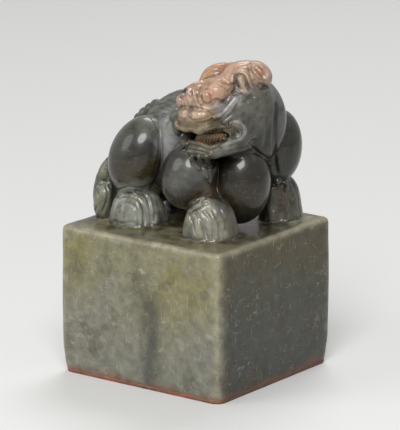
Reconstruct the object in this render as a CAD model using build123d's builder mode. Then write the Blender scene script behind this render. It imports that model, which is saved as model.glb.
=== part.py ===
"""Square-based stone seal stamp with a crouching lion carved as its grip.

The lion crouches on the block with its chest towards +X, its tail towards -X
and its head turned to its right, towards -Y. The whole grip is cut from the
same stone as the block. Each carved mass is a solid of its own here, trimmed
by the larger masses it grows from, so that neighbours meet face to face.
Lengths are millimetres, the origin is the centre of the stamping face, +Z up.
"""

import os
from math import cos, radians, sin

from build123d import *

# Block
block_width = 51.2
block_depth = 48.8
block_height = 39.2
block_corner_radius = 2.2
block_top_edge_radius = 1.3

# Stamping face: the stone left standing between engraved square spirals
relief_depth = 1.2
border_width = 3.0
spiral_columns = 3
spiral_rows = 3
spiral_turns = 7
groove_width = 1.15

# Dried vermilion paste round the foot of the block
paste_thickness = 0.12
paste_height = 1.0

# Lion, overall: places on it are shares of its length, width and height
lion_end_margin = 3.6
lion_side_margin = 7.4
lion_height = 42.0

# Body
torso_radius = 11.5
torso_fore_length = 16.0
torso_aft_length = 19.0
torso_rise_angle = 33.0
rump_radius = 10.2
rump_fore_length = 12.5
rump_aft_length = 13.0
rump_rise_angle = 60.0
chest_radius = 7.2
chest_half_height = 10.6
neck_radius = 9.7
neck_half_height = 12.0

# Legs
haunch_radius = 7.5
haunch_half_length = 10.4
right_shoulder_radius = 7.1
right_shoulder_half_length = 8.9
left_shoulder_radius = 6.4
left_shoulder_half_length = 10.0

# Paws
hindpaw_radius = 5.2
hindpaw_fore_length = 5.0
hindpaw_aft_length = 7.4
forepaw_radius = 4.6
forepaw_fore_length = 4.0
forepaw_aft_length = 6.0
toe_count = 4
toe_radius = 1.8
toe_length = 4.9
toe_knuckle_height = 2.6
toe_fan_angle = 8.0
toe_drop_angle = 45.0
tuft_radius = 1.5
tuft_half_length = 3.4

# Tail, mane and spine
tail_lock_radius = 3.0
tail_lock_fore_length = 10.5
tail_lock_aft_length = 7.0
tail_side_radius = 2.0
tail_side_fore_length = 6.0
tail_side_aft_length = 4.5
tail_bead_radius = 1.3
tail_bead_count = 3
mane_radius = 9.6
mane_fore_length = 13.0
mane_aft_length = 12.0
mane_lock_radius = 2.4
mane_lock_half_length = 5.4
spine_bead_radius = 2.6

# Head: places on it are shares of head_size, in its own turned frame
head_size = 20.0
head_turn_angle = 98.0
head_roll_angle = 7.0
skull_radius = 8.6
skull_fore_length = 9.6
skull_aft_length = 9.6
crown_radius = 4.0
crown_fore_length = 5.0
crown_aft_length = 6.5
muzzle_radius = 4.1
muzzle_half_width = 6.2
nose_radius = 1.75
nose_half_width = 2.9
nostril_radius = 0.55
nostril_depth = 1.0
eye_radius = 1.9
brow_radius = 2.4
brow_half_length = 3.4
ear_radius = 2.8
ear_fore_length = 4.6
ear_aft_length = 4.0
ear_hollow_radius = 1.1
ear_hollow_half_length = 2.4
ear_lock_radius = 1.5
ear_lock_half_length = 3.2
jowl_radius = 2.2
jowl_half_length = 4.0

# Mouth
jaw_width = 10.4
jaw_length = 15.0
jaw_thickness = 3.8
jaw_edge_radius = 1.3
tongue_width = 4.6
tongue_length = 8.0
tongue_thickness = 1.2
tongue_edge_radius = 0.5
tooth_radius = 0.7
tooth_half_height = 1.3
tooth_spacing = 1.9
tooth_count = 5
beard_lock_radius = 1.6
beard_lock_fore_length = 4.6
beard_lock_aft_length = 3.0
beard_lock_spacing = 2.3
beard_lock_count = 3

# Places on the lion, as shares of its length, width and height over the block
head_place_shares = (0.261, -0.053, 0.750)
torso_place_shares = (-0.102, 0.0, 0.450)
rump_place_shares = (-0.295, 0.0, 0.333)
chest_place_shares = (0.323, 0.035, 0.262)
neck_place_shares = (0.286, 0.153, 0.643)
right_haunch_place_shares = (-0.277, -0.250, 0.410)
left_haunch_place_shares = (-0.250, 0.250, 0.410)
right_shoulder_place_shares = (0.123, -0.276, 0.338)
left_shoulder_place_shares = (0.357, 0.394, 0.443)
right_hindpaw_place_shares = (-0.250, -0.288, 0.050)
left_hindpaw_place_shares = (-0.200, 0.300, 0.050)
right_forepaw_place_shares = (0.290, -0.365, 0.070)
left_forepaw_place_shares = (0.375, 0.400, 0.070)
tail_place_shares = (-0.489, -0.271, 0.119)
tail_near_lock_place_shares = (-0.500, -0.345, 0.085)
tail_far_lock_place_shares = (-0.510, -0.170, 0.090)
tail_bead_place_shares = (-0.500, -0.330, 0.220)
mane_place_shares = (-0.110, 0.030, 0.562)
mane_lock_place_shares = (
    (-0.150, -0.240, 0.610),
    (-0.240, -0.020, 0.680),
    (-0.140, 0.280, 0.610),
)
spine_place_shares = ((-0.360, 0.0, 0.590), (-0.455, 0.0, 0.470))

# Places on the head, as shares of head_size: to its left, to its back, up
crown_place_shares = (0.060, 0.188, 0.375)
muzzle_place_shares = (-0.085, -0.535, -0.110)
nose_place_shares = (-0.060, -0.690, 0.160)
left_eye_place_shares = (0.165, -0.515, 0.165)
right_eye_place_shares = (-0.225, -0.505, 0.155)
left_brow_place_shares = (0.220, -0.380, 0.215)
right_brow_place_shares = (-0.220, -0.378, 0.213)
left_ear_place_shares = (0.355, 0.205, 0.410)
right_ear_place_shares = (-0.259, 0.068, 0.405)
left_ear_lock_place_shares = (0.330, -0.040, 0.330)
right_ear_lock_place_shares = (-0.330, -0.120, 0.320)
left_jowl_place_shares = (0.250, -0.330, -0.280)
right_jowl_place_shares = (-0.380, -0.400, -0.240)
jaw_place_shares = (-0.085, -0.340, -0.490)
tongue_tip_share = -0.500
teeth_place_shares = (-0.085, -0.610, -0.310)
beard_place_shares = (0.144, -0.535, -0.640)
nostril_place_shares = (0.075, -0.765, 0.150)

# How far before its paw's heart a toe's knuckle lies and how high a tuft's root, in paw radii
toe_reach_share = 0.6
tuft_rise_share = 0.8

# Directions of the lesser masses, on the body and then in the head's frame
neck_axis = Vector(-0.10, -0.10, 1.0)
chest_axis = Vector(0.10, 0.0, 1.0)
right_haunch_axis = Vector(0.50, 0.05, 0.87)
left_haunch_axis = Vector(0.50, -0.05, 0.87)
right_shoulder_axis = Vector(0.20, 0.10, 0.97)
left_shoulder_axis = Vector(0.05, 0.05, 1.0)
tail_axis = Vector(0.05, 0.04, 1.0)
mane_axis = Vector(-0.80, 0.0, -0.60)
tuft_axis = Vector(-0.55, 0.06, 0.83)
skull_axis = Vector(0.0, -1.0, -0.12)
brow_axis = Vector(0.15, 1.0, 0.25)
ear_axis = Vector(0.72, 0.60, -0.35)
ear_lock_axis = Vector(0.45, 0.10, -0.88)
jowl_axis = Vector(0.10, -0.88, -0.40)
beard_axis = Vector(0.25, 0.25, -0.93)

lion_length = block_width - 2 * lion_end_margin
lion_width = block_depth - 2 * lion_side_margin
ground = Plane.XY.offset(block_height)
pieces = {}


def on_lion(shares):
    """The point at these shares of the lion's length, width and height."""
    along, across, up = shares
    return Vector(along * lion_length, across * lion_width, block_height + up * lion_height)


turned_forward = Vector(cos(radians(head_turn_angle)), -sin(radians(head_turn_angle)), 0)
turned_left = Vector(sin(radians(head_turn_angle)), cos(radians(head_turn_angle)), 0)
roll_axis = Axis((0, 0, 0), turned_forward)
head_frame = Plane(
    origin=on_lion(head_place_shares),
    x_dir=turned_left.rotate(roll_axis, head_roll_angle),
    z_dir=Vector(0, 0, 1).rotate(roll_axis, head_roll_angle),
)


def on_head(shares):
    """The point at these shares of head_size in the head's own frame."""
    return head_frame.from_local_coords(Vector(*shares) * head_size)


def along_head(direction, side=1):
    """A head-frame direction in the part's frame, mirrored when side is -1."""
    local = Vector(direction.X * side, direction.Y, direction.Z)
    return head_frame.from_local_coords(local) - head_frame.origin


def egg(centre, ahead, radius, length_ahead, length_behind, mode=Mode.ADD):
    """Adds an egg of revolution, its long axis along ahead, to the part being made."""
    ahead = ahead.normalized()
    upright = abs(ahead.Z) > abs(ahead.X) + abs(ahead.Y)
    beside = Vector(0, 1, 0) if upright else Vector(0, 0, 1)
    with BuildSketch(Plane(origin=centre, x_dir=ahead, z_dir=ahead.cross(beside)), mode=Mode.PRIVATE) as half:
        with BuildLine():
            EllipticalCenterArc((0, 0), length_ahead, radius, arc_size=90)
            EllipticalCenterArc((0, 0), length_behind, radius, start_angle=90, arc_size=90)
            Line((-length_behind, 0), (length_ahead, 0))
        make_face()
    revolve(half.sketch, axis=Axis(centre, ahead), mode=mode)


def stand_on_block():
    """Cuts the part being made flat where it meets the block's top."""
    split(bisect_by=ground, keep=Keep.TOP)


def trim(*neighbours):
    """Cuts these finished neighbours out of the part being made."""
    for neighbour in neighbours:
        add(neighbour.part, mode=Mode.SUBTRACT)


def paw(place_shares, radius, fore_length, aft_length):
    """Adds a domed paw with a row of toes towards +X to the part being made."""
    heart = on_lion(place_shares)
    egg(heart, Vector(1, 0, 0), radius, fore_length, aft_length)
    toe_spacing = 2 * (radius - toe_radius) / (toe_count - 1)
    for toe in range(toe_count):
        steps_aside = toe - (toe_count - 1) / 2
        turn = radians(toe_fan_angle * steps_aside)
        drop = radians(toe_drop_angle)
        knuckle = heart + Vector(radius * toe_reach_share, steps_aside * toe_spacing)
        knuckle.Z = block_height + toe_knuckle_height
        ahead = Vector(cos(turn) * cos(drop), sin(turn) * cos(drop), -sin(drop))
        egg(knuckle, ahead, toe_radius, toe_length, toe_length)
    stand_on_block()


def paw_tuft(place_shares, radius, aft_length):
    """Adds the tuft of hair behind and above a paw to the part being made."""
    root = on_lion(place_shares) + Vector(-aft_length / 3, 0, radius * tuft_rise_share)
    egg(root, tuft_axis, tuft_radius, tuft_half_length, tuft_half_length)


# The block, from the root of the engraving to the lion's feet
with BuildPart() as seal_block:
    with BuildSketch(Plane.XY.offset(relief_depth)):
        RectangleRounded(block_width, block_depth, block_corner_radius)
    extrude(amount=block_height - relief_depth)
    fillet(seal_block.faces().sort_by(Axis.Z)[-1].edges(), block_top_edge_radius)
pieces["seal_block"] = seal_block

# The stamping face: square spirals engraved through the layer of raised stone
cell_width = (block_width - 2 * border_width) / spiral_columns
cell_depth = (block_depth - 2 * border_width) / spiral_rows
pitch_across = cell_width / (spiral_turns + 1)
pitch_deep = cell_depth / (spiral_turns + 1)
headings = ((1, 0), (0, 1), (-1, 0), (0, -1))
spiral_points = [(-pitch_across * spiral_turns / 2, -pitch_deep * spiral_turns / 2)]
for leg in range(spiral_turns):
    x, y = spiral_points[-1]
    step_x, step_y = headings[leg % len(headings)]
    pitches = spiral_turns - max(leg - 1, 0)
    spiral_points.append((x + step_x * pitches * pitch_across, y + step_y * pitches * pitch_deep))
with BuildPart() as seal_face:
    with BuildSketch():
        RectangleRounded(block_width, block_depth, block_corner_radius)
        with BuildLine(mode=Mode.PRIVATE) as spiral:
            Polyline(*spiral_points)
        with GridLocations(cell_width, cell_depth, spiral_columns, spiral_rows):
            add(trace(spiral.line, groove_width, mode=Mode.PRIVATE), mode=Mode.SUBTRACT)
    extrude(amount=relief_depth)
pieces["seal_face"] = seal_face

# Dried paste: a thin skin round the foot of the stone's four sides
with BuildPart() as paste_residue:
    with BuildSketch():
        RectangleRounded(
            block_width + 2 * paste_thickness,
            block_depth + 2 * paste_thickness,
            block_corner_radius + paste_thickness,
        )
        RectangleRounded(block_width, block_depth, block_corner_radius, mode=Mode.SUBTRACT)
    extrude(amount=paste_height)
pieces["paste_residue"] = paste_residue

# Body, largest masses first
with BuildPart() as torso:
    rise = radians(torso_rise_angle)
    ahead = Vector(cos(rise), 0, sin(rise))
    egg(on_lion(torso_place_shares), ahead, torso_radius, torso_fore_length, torso_aft_length)
    rise = radians(rump_rise_angle)
    ahead = Vector(cos(rise), 0, sin(rise))
    egg(on_lion(rump_place_shares), ahead, rump_radius, rump_fore_length, rump_aft_length)
    stand_on_block()
pieces["torso"] = torso

with BuildPart() as neck:
    egg(on_lion(neck_place_shares), neck_axis, neck_radius, neck_half_height, neck_half_height)
    trim(torso)
pieces["neck"] = neck

with BuildPart() as chest:
    egg(on_lion(chest_place_shares), chest_axis, chest_radius, chest_half_height, chest_half_height)
    stand_on_block()
    trim(torso, neck)
pieces["chest"] = chest

# Legs, from the haunches to the paws
with BuildPart() as right_haunch:
    heart = on_lion(right_haunch_place_shares)
    egg(heart, right_haunch_axis, haunch_radius, haunch_half_length, haunch_half_length)
    trim(torso)
pieces["right_haunch"] = right_haunch

with BuildPart() as left_haunch:
    heart = on_lion(left_haunch_place_shares)
    egg(heart, left_haunch_axis, haunch_radius, haunch_half_length, haunch_half_length)
    trim(torso)
pieces["left_haunch"] = left_haunch

with BuildPart() as right_shoulder:
    heart = on_lion(right_shoulder_place_shares)
    half_length = right_shoulder_half_length
    egg(heart, right_shoulder_axis, right_shoulder_radius, half_length, half_length)
    trim(torso, neck, chest)
pieces["right_shoulder"] = right_shoulder

with BuildPart() as left_shoulder:
    heart = on_lion(left_shoulder_place_shares)
    half_length = left_shoulder_half_length
    egg(heart, left_shoulder_axis, left_shoulder_radius, half_length, half_length)
    trim(torso, neck, chest)
pieces["left_shoulder"] = left_shoulder

hind = (hindpaw_radius, hindpaw_fore_length, hindpaw_aft_length)
fore = (forepaw_radius, forepaw_fore_length, forepaw_aft_length)
legs = (
    ("right_hindpaw", right_hindpaw_place_shares, hind, (torso, right_haunch)),
    ("left_hindpaw", left_hindpaw_place_shares, hind, (torso, left_haunch)),
    ("right_forepaw", right_forepaw_place_shares, fore, (torso, chest, right_shoulder)),
    ("left_forepaw", left_forepaw_place_shares, fore, (torso, chest, left_shoulder)),
)
for name, place_shares, (radius, fore_length, aft_length), neighbours in legs:
    with BuildPart() as foot:
        paw(place_shares, radius, fore_length, aft_length)
        trim(*neighbours)
    pieces[name] = foot
    with BuildPart() as tuft:
        paw_tuft(place_shares, radius, aft_length)
        trim(foot, *neighbours)
    pieces[f"{name}_tuft"] = tuft

# Tail: one long lock between two short ones, tied by a row of beads
with BuildPart() as tail:
    heart = on_lion(tail_place_shares)
    egg(heart, tail_axis, tail_lock_radius, tail_lock_fore_length, tail_lock_aft_length)
    for shares in (tail_near_lock_place_shares, tail_far_lock_place_shares):
        egg(on_lion(shares), tail_axis, tail_side_radius, tail_side_fore_length, tail_side_aft_length)
    stand_on_block()
    trim(torso, right_haunch, pieces["right_hindpaw"])
pieces["tail"] = tail

with BuildPart() as tail_beads:
    for bead in range(tail_bead_count):
        aside = Vector(0, bead * tail_bead_radius, bead * tail_bead_radius / tail_bead_count)
        centre = on_lion(tail_bead_place_shares) + aside
        egg(centre, tail_axis, tail_bead_radius, tail_bead_radius, tail_bead_radius)
    trim(torso, right_haunch, tail)
pieces["tail_beads"] = tail_beads

# Head, its masses trimmed outwards from the skull
with BuildPart() as skull:
    ahead = along_head(skull_axis)
    egg(head_frame.origin, ahead, skull_radius, skull_fore_length, skull_aft_length)
    trim(torso, neck)
pieces["skull"] = skull

with BuildPart() as muzzle:
    heart = on_head(muzzle_place_shares)
    egg(heart, head_frame.x_dir, muzzle_radius, muzzle_half_width, muzzle_half_width)
    trim(neck, skull)
pieces["muzzle"] = muzzle

with BuildPart() as nose:
    egg(on_head(nose_place_shares), head_frame.x_dir, nose_radius, nose_half_width, nose_half_width)
    left_nostril, back, up = nostril_place_shares
    right_nostril = 2 * nose_place_shares[0] - left_nostril
    for aside in (left_nostril, right_nostril):
        centre = on_head((aside, back, up))
        egg(centre, head_frame.y_dir, nostril_radius, nostril_depth, nostril_depth, Mode.SUBTRACT)
    trim(skull, muzzle)
pieces["nose"] = nose

with BuildPart() as crown:
    heart = on_head(crown_place_shares)
    egg(heart, head_frame.y_dir, crown_radius, crown_fore_length, crown_aft_length)
    trim(neck, skull)
pieces["crown"] = crown

# Mane over the back, with loose locks on it and the spine's knuckles behind
with BuildPart() as mane:
    egg(on_lion(mane_place_shares), mane_axis, mane_radius, mane_fore_length, mane_aft_length)
    trim(torso, neck, right_haunch, left_haunch, right_shoulder, left_shoulder, skull)
pieces["mane"] = mane

with BuildPart() as mane_locks:
    for shares in mane_lock_place_shares:
        heart = on_lion(shares)
        egg(heart, mane_axis, mane_lock_radius, mane_lock_half_length, mane_lock_half_length)
    trim(torso, mane, right_haunch, left_haunch)
pieces["mane_locks"] = mane_locks

with BuildPart() as spine:
    for shares in spine_place_shares:
        egg(on_lion(shares), mane_axis, spine_bead_radius, spine_bead_radius, spine_bead_radius)
    trim(torso, mane, mane_locks)
pieces["spine"] = spine

# Face, the same on both sides but for where its masses lie
faces = (
    ("left", 1, left_brow_place_shares, left_eye_place_shares, left_ear_place_shares,
     left_ear_lock_place_shares, left_jowl_place_shares),
    ("right", -1, right_brow_place_shares, right_eye_place_shares, right_ear_place_shares,
     right_ear_lock_place_shares, right_jowl_place_shares),
)
for side, sign, brow_shares, eye_shares, ear_shares, lock_shares, jowl_shares in faces:
    with BuildPart() as brow:
        heart = on_head(brow_shares)
        egg(heart, along_head(brow_axis, sign), brow_radius, brow_half_length, brow_half_length)
        trim(skull, muzzle, nose)
    pieces[f"{side}_brow"] = brow
    with BuildPart() as eye:
        egg(on_head(eye_shares), head_frame.z_dir, eye_radius, eye_radius, eye_radius)
        trim(skull, muzzle, nose, brow)
    pieces[f"{side}_eye"] = eye
    with BuildPart() as ear:
        ahead = along_head(ear_axis, sign)
        heart = on_head(ear_shares)
        egg(heart, ahead, ear_radius, ear_fore_length, ear_aft_length)
        trim(skull, neck, crown, mane)
        mouth = heart - head_frame.y_dir * ear_radius
        half_length = ear_hollow_half_length
        egg(mouth, ahead, ear_hollow_radius, half_length, half_length, Mode.SUBTRACT)
    pieces[f"{side}_ear"] = ear
    with BuildPart() as ear_lock:
        heart = on_head(lock_shares)
        ahead = along_head(ear_lock_axis, sign)
        egg(heart, ahead, ear_lock_radius, ear_lock_half_length, ear_lock_half_length)
        trim(skull, neck, crown, ear, brow, mane)
    pieces[f"{side}_ear_lock"] = ear_lock
    with BuildPart() as jowl:
        heart = on_head(jowl_shares)
        egg(heart, along_head(jowl_axis, sign), jowl_radius, jowl_half_length, jowl_half_length)
        trim(skull, neck, muzzle, torso, mane, right_shoulder)
    pieces[f"{side}_jowl"] = jowl

# Open mouth: the lower jaw, the tongue lying on it and the teeth under the muzzle
jaw_plane = Plane(on_head(jaw_place_shares), head_frame.x_dir, head_frame.z_dir)
jaw_chin = -(jaw_length - jaw_width) / 2
jaw_straight = jaw_length - jaw_width / 2
with BuildPart() as lower_jaw:
    with BuildSketch(jaw_plane):
        with Locations((0, jaw_chin)):
            Circle(jaw_width / 2)
        with Locations((0, jaw_chin + jaw_straight / 2)):
            Rectangle(jaw_width, jaw_straight)
    extrude(amount=jaw_thickness / 2, both=True)
    fillet(lower_jaw.edges().filter_by(GeomType.LINE, reverse=True), jaw_edge_radius)
    trim(torso, neck, skull, chest, right_shoulder)
pieces["lower_jaw"] = lower_jaw

tongue_centre = tongue_tip_share * head_size + tongue_length / 2 - jaw_place_shares[1] * head_size
with BuildPart() as tongue:
    with BuildSketch(jaw_plane.offset(jaw_thickness / 2)):
        with Locations((0, tongue_centre)):
            SlotOverall(tongue_length, tongue_width, rotation=90)
    extrude(amount=tongue_thickness)
    fillet(tongue.faces().sort_by(Axis.Z)[-1].edges(), tongue_edge_radius)
    trim(lower_jaw, torso, neck, skull, muzzle)
pieces["tongue"] = tongue

with BuildPart() as teeth:
    for tooth in range(tooth_count):
        aside = head_frame.x_dir * (tooth - (tooth_count - 1) / 2) * tooth_spacing
        centre = on_head(teeth_place_shares) + aside
        egg(centre, -head_frame.z_dir, tooth_radius, tooth_half_height, tooth_half_height)
    trim(muzzle, skull, lower_jaw, tongue)
pieces["teeth"] = teeth

with BuildPart() as beard:
    for lock in range(beard_lock_count):
        aside = head_frame.x_dir * (lock - (beard_lock_count - 1) / 2) * beard_lock_spacing
        heart = on_head(beard_place_shares) + aside
        ahead = along_head(beard_axis)
        egg(heart, ahead, beard_lock_radius, beard_lock_fore_length, beard_lock_aft_length)
    trim(lower_jaw, chest, right_shoulder, neck, torso)
pieces["beard"] = beard

os.makedirs("parts", exist_ok=True)
for name, piece in pieces.items():
    piece.part.label = name
    export_step(piece.part, f"parts/{name}.step")
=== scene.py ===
"""Stone seal stamp whose grip is a crouching lion, sculpted from distance fields.

Lengths are millimetres, and mesh_piece turns them into metres. Only the lights,
the floor and the shaders' relief are given in metres. The sculpture's own height,
called t, is measured from the top of the block. The lion's chest faces +X, its
tail lies at -X and its head is turned to its right, towards -Y.
"""

from itertools import product
from math import cos, pi, radians, sin

import bpy
import numpy as np
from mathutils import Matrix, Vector


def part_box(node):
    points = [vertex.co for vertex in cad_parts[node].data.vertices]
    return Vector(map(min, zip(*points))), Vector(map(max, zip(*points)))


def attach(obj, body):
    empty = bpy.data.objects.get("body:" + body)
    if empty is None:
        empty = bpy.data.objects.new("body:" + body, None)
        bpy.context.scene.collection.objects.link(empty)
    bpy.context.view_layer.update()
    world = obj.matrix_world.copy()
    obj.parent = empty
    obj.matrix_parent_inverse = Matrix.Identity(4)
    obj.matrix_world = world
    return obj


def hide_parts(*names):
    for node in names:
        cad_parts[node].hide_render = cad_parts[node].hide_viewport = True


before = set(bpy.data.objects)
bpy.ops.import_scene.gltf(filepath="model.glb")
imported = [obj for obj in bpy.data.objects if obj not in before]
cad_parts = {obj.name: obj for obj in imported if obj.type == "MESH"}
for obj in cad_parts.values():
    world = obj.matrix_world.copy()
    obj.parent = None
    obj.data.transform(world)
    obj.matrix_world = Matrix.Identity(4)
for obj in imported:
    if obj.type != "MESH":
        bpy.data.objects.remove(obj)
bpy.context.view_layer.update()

# Scale and frame
MM = 0.001
FAR = 50.0
BLOCK_LOW, BLOCK_HIGH = (np.array(corner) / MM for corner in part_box("seal_block"))
FACE_LOW, FACE_HIGH = (np.array(corner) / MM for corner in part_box("seal_face"))
TOP = float(BLOCK_HIGH[2])
BLOCK_TOP = np.array([0, 0, TOP])
STEP, BLOCK_STEP, FACE_STEP = ((0.2, 0.4, 0.25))

# How far a piece runs on under its neighbours, and how far the lion's pieces reach into the block
PIECE_OVERLAP = 0.5
LION_FOOT = -0.35

# The room that is sculpted, and the layer of it where the lion's feet run into the block
LION_LOW, LION_HIGH = (-27, -24.5, -1.2), (24.5, 23.5, 44.4)
JOINED_HEIGHT, JOIN_BLEND = 3.0, 0.9
JOINED_LOW, JOINED_HIGH = (-27, -24.4, -1.0), (24.4, 23.4, JOINED_HEIGHT)

# Camera of the photograph: its frame in pixels and where it stands. LENS_PLACE is that place in the
# sculpture's own heights, and RAY_START is how far along a ray the search for the lion begins.
IMAGE_SIZE = (400, 430)
AZIMUTH, ELEVATION = radians(36.8), radians(14.36)
DISTANCE = 835.5
FOCAL_PIXELS = 3258.2
PIXELS_PER_MM = 3.9
AIM = np.array([-0.509, 2.316, 39.755])
TO_CAMERA = np.array([sin(AZIMUTH) * cos(ELEVATION), -cos(AZIMUTH) * cos(ELEVATION), sin(ELEVATION)])
IMAGE_RIGHT = np.array([cos(AZIMUTH), sin(AZIMUTH), 0.0])
IMAGE_UP = np.cross(TO_CAMERA, IMAGE_RIGHT)
CAMERA_PLACE = AIM + TO_CAMERA * DISTANCE
LENS_PLACE = CAMERA_PLACE - BLOCK_TOP
RAY_START = DISTANCE - 50

# Head: its centre (x, y, t), and how far it is turned and rolled
HEAD_CENTRE = np.array([11.5, -1.8, 31.5])
HEAD_TURN, HEAD_ROLL = radians(98), radians(7)
HEAD_FORWARD = np.array([cos(HEAD_TURN), -sin(HEAD_TURN), 0.0])
HEAD_LEFT = np.array([sin(HEAD_TURN) * cos(HEAD_ROLL), cos(HEAD_TURN) * cos(HEAD_ROLL), sin(HEAD_ROLL)])
HEAD_UP = np.cross(HEAD_FORWARD, HEAD_LEFT)


def unit(direction):
    """The direction at length one."""
    direction = np.array(direction, float)
    return direction / np.linalg.norm(direction)


def on_head(left, back, up):
    """The point (x, y, t) at this place in the head's own frame."""
    return HEAD_CENTRE + HEAD_LEFT * left - HEAD_FORWARD * back + HEAD_UP * up


def along_head(left, back, up):
    """A direction given in the head's own frame."""
    return HEAD_LEFT * left - HEAD_FORWARD * back + HEAD_UP * up


# Distance fields on one regular grid

class Grid:
    """A box of sample points and the signed distances there, negative inside."""

    def __init__(self, low, high, step):
        self.step = step
        self.low = np.array(low, float)
        counts = np.ceil((np.array(high) - self.low) / step).astype(int) + 1
        self.axes = [(self.low[i] + step * np.arange(counts[i])).astype(np.float32) for i in range(3)]
        self.shape = tuple(counts)
        self.values = np.full(self.shape, FAR, np.float32)

    def window(self, low, high):
        """The slices of the samples between two corners."""
        cuts = []
        for i in range(3):
            first = int(np.floor((low[i] - self.low[i]) / self.step))
            last = int(np.ceil((high[i] - self.low[i]) / self.step)) + 1
            cuts.append(slice(max(first, 0), min(max(last, 1), self.shape[i])))
        return tuple(cuts)

    def points(self, window):
        """The coordinates of a window's samples, ready to broadcast."""
        x, y, z = (axis[cut] for axis, cut in zip(self.axes, window))
        return x[:, None, None], y[None, :, None], z[None, None, :]


def along(point, origin, direction):
    """How far each point lies from the origin along a direction."""
    return sum((p - np.float32(o)) * np.float32(d) for p, o, d in zip(point, origin, direction))


def smooth_min(a, b, blend):
    """The union of two fields, its crease rounded over the blend distance."""
    if blend <= 0:
        return np.minimum(a, b)
    overlap = np.maximum(blend - np.abs(a - b), 0)
    return np.minimum(a, b) - overlap * overlap / (4 * blend)


def smooth_step(low, high, value):
    """Zero below low, one above high and smooth between."""
    share = np.clip((value - low) / (high - low), 0, 1)
    return share * share * (3 - 2 * share)


class Egg:
    """An egg: long axis ahead, half widths (sideways, upward), lengths (ahead, behind).

    Squareness 2 is a true egg, and a higher number makes it fuller at its corners.
    """

    def __init__(self, centre, ahead, half_widths, lengths, up=None, square=2.0):
        self.square = square
        self.centre = np.array(centre, float)
        self.ahead = unit(ahead)
        if up is None:
            up = (0, 0, 1) if abs(self.ahead[2]) < 0.97 else (0, 1, 0)
        self.side = unit(np.cross(self.ahead, up))
        self.up = np.cross(self.side, self.ahead)
        self.half_widths = half_widths
        self.lengths = lengths
        reach = max(*half_widths, *lengths)
        self.low, self.high = self.centre - reach, self.centre + reach

    def distance(self, point):
        a = along(point, self.centre, self.side)
        b = along(point, self.centre, self.up)
        c = along(point, self.centre, self.ahead)
        ra, rb = self.half_widths
        rc = np.where(c > 0, np.float32(self.lengths[0]), np.float32(self.lengths[1]))
        level = np.sqrt((a / ra) ** 2 + (b / rb) ** 2 + (c / rc) ** 2)
        slope = np.sqrt((a / ra**2) ** 2 + (b / rb**2) ** 2 + (c / rc**2) ** 2)
        if self.square > 2:
            power = self.square
            full = sum(np.abs(share) ** power for share in (a / ra, b / rb, c / rc)) ** (1 / power)
            return level * (full - 1) / np.maximum(slope, 1e-4)
        return level * (level - 1) / np.maximum(slope, 1e-4)


class Lock:
    """A tapering round lock or limb along a bending line, with the radius at each point."""

    def __init__(self, points, radii, steps=6):
        self.points, self.radii = smooth_line(points, radii, steps)
        reach = max(radii)
        self.low, self.high = self.points.min(0) - reach, self.points.max(0) + reach

    def distance(self, point):
        return line_distance(point, self.points, self.radii)


def line_distance(point, line, radii):
    """Distances to a bent line, less its radius at the nearest place."""
    nearest = FAR
    for start, end, thin, thick in zip(line, line[1:], radii, radii[1:]):
        run = end - start
        share = np.clip(along(point, start, run / (run @ run)), 0, 1)
        square = 0
        for p, s, r in zip(point, start, run):
            square = square + (p - np.float32(s) - share * np.float32(r)) ** 2
        nearest = np.minimum(nearest, np.sqrt(square) - (thin + share * (thick - thin)))
    return nearest


def smooth_line(points, radii, steps):
    """A finer line through the points, with its radii, as a cardinal spline."""
    points = np.column_stack([np.array(points, float), np.array(radii, float)])
    ends = np.vstack([2 * points[0] - points[1], points, 2 * points[-1] - points[-2]])
    fine = []
    for before, start, end, after in zip(ends, ends[1:], ends[2:], ends[3:]):
        for share in np.arange(steps) / steps:
            square, cube = share**2, share**3
            fine.append(
                0.5 * (2 * start + (end - before) * share
                       + (2 * before - 5 * start + 4 * end - after) * square
                       + (3 * start - before - 3 * end + after) * cube)
            )
    fine.append(points[-1])
    fine = np.array(fine)
    return fine[:, :3], fine[:, 3]


def pixel_rays(pixels):
    """Directions from the camera through photo pixels, each as long as its slant asks."""
    u, v = np.array(pixels, float).T
    across = IMAGE_RIGHT * (u - IMAGE_SIZE[0] / 2)[:, None] - IMAGE_UP * (v - IMAGE_SIZE[1] / 2)[:, None]
    return across / FOCAL_PIXELS - TO_CAMERA


def seen(pixel, like, nearer):
    """The point (x, y, t) behind a photo pixel, this much nearer to the camera than another point."""
    depth = (LENS_PLACE - np.array(like, float)) @ TO_CAMERA - nearer
    return LENS_PLACE + depth * pixel_rays([pixel])[0]


def in_image(right, up, nearer=0.0):
    """A direction given as it looks in the photograph."""
    return IMAGE_RIGHT * right + IMAGE_UP * up + TO_CAMERA * nearer


# The sculpture: one whole field, and for each node the field of its own masses

# Margins round a shape in mm, where it blends and where its node's own field is kept; the reach of a
# groove in its widths; and the stride of a search along a ray
LEAST_MARGIN, OWN_MARGIN = 1.5, 4
GROOVE_REACH = 2.4
STRIDE = 0.4


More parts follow.
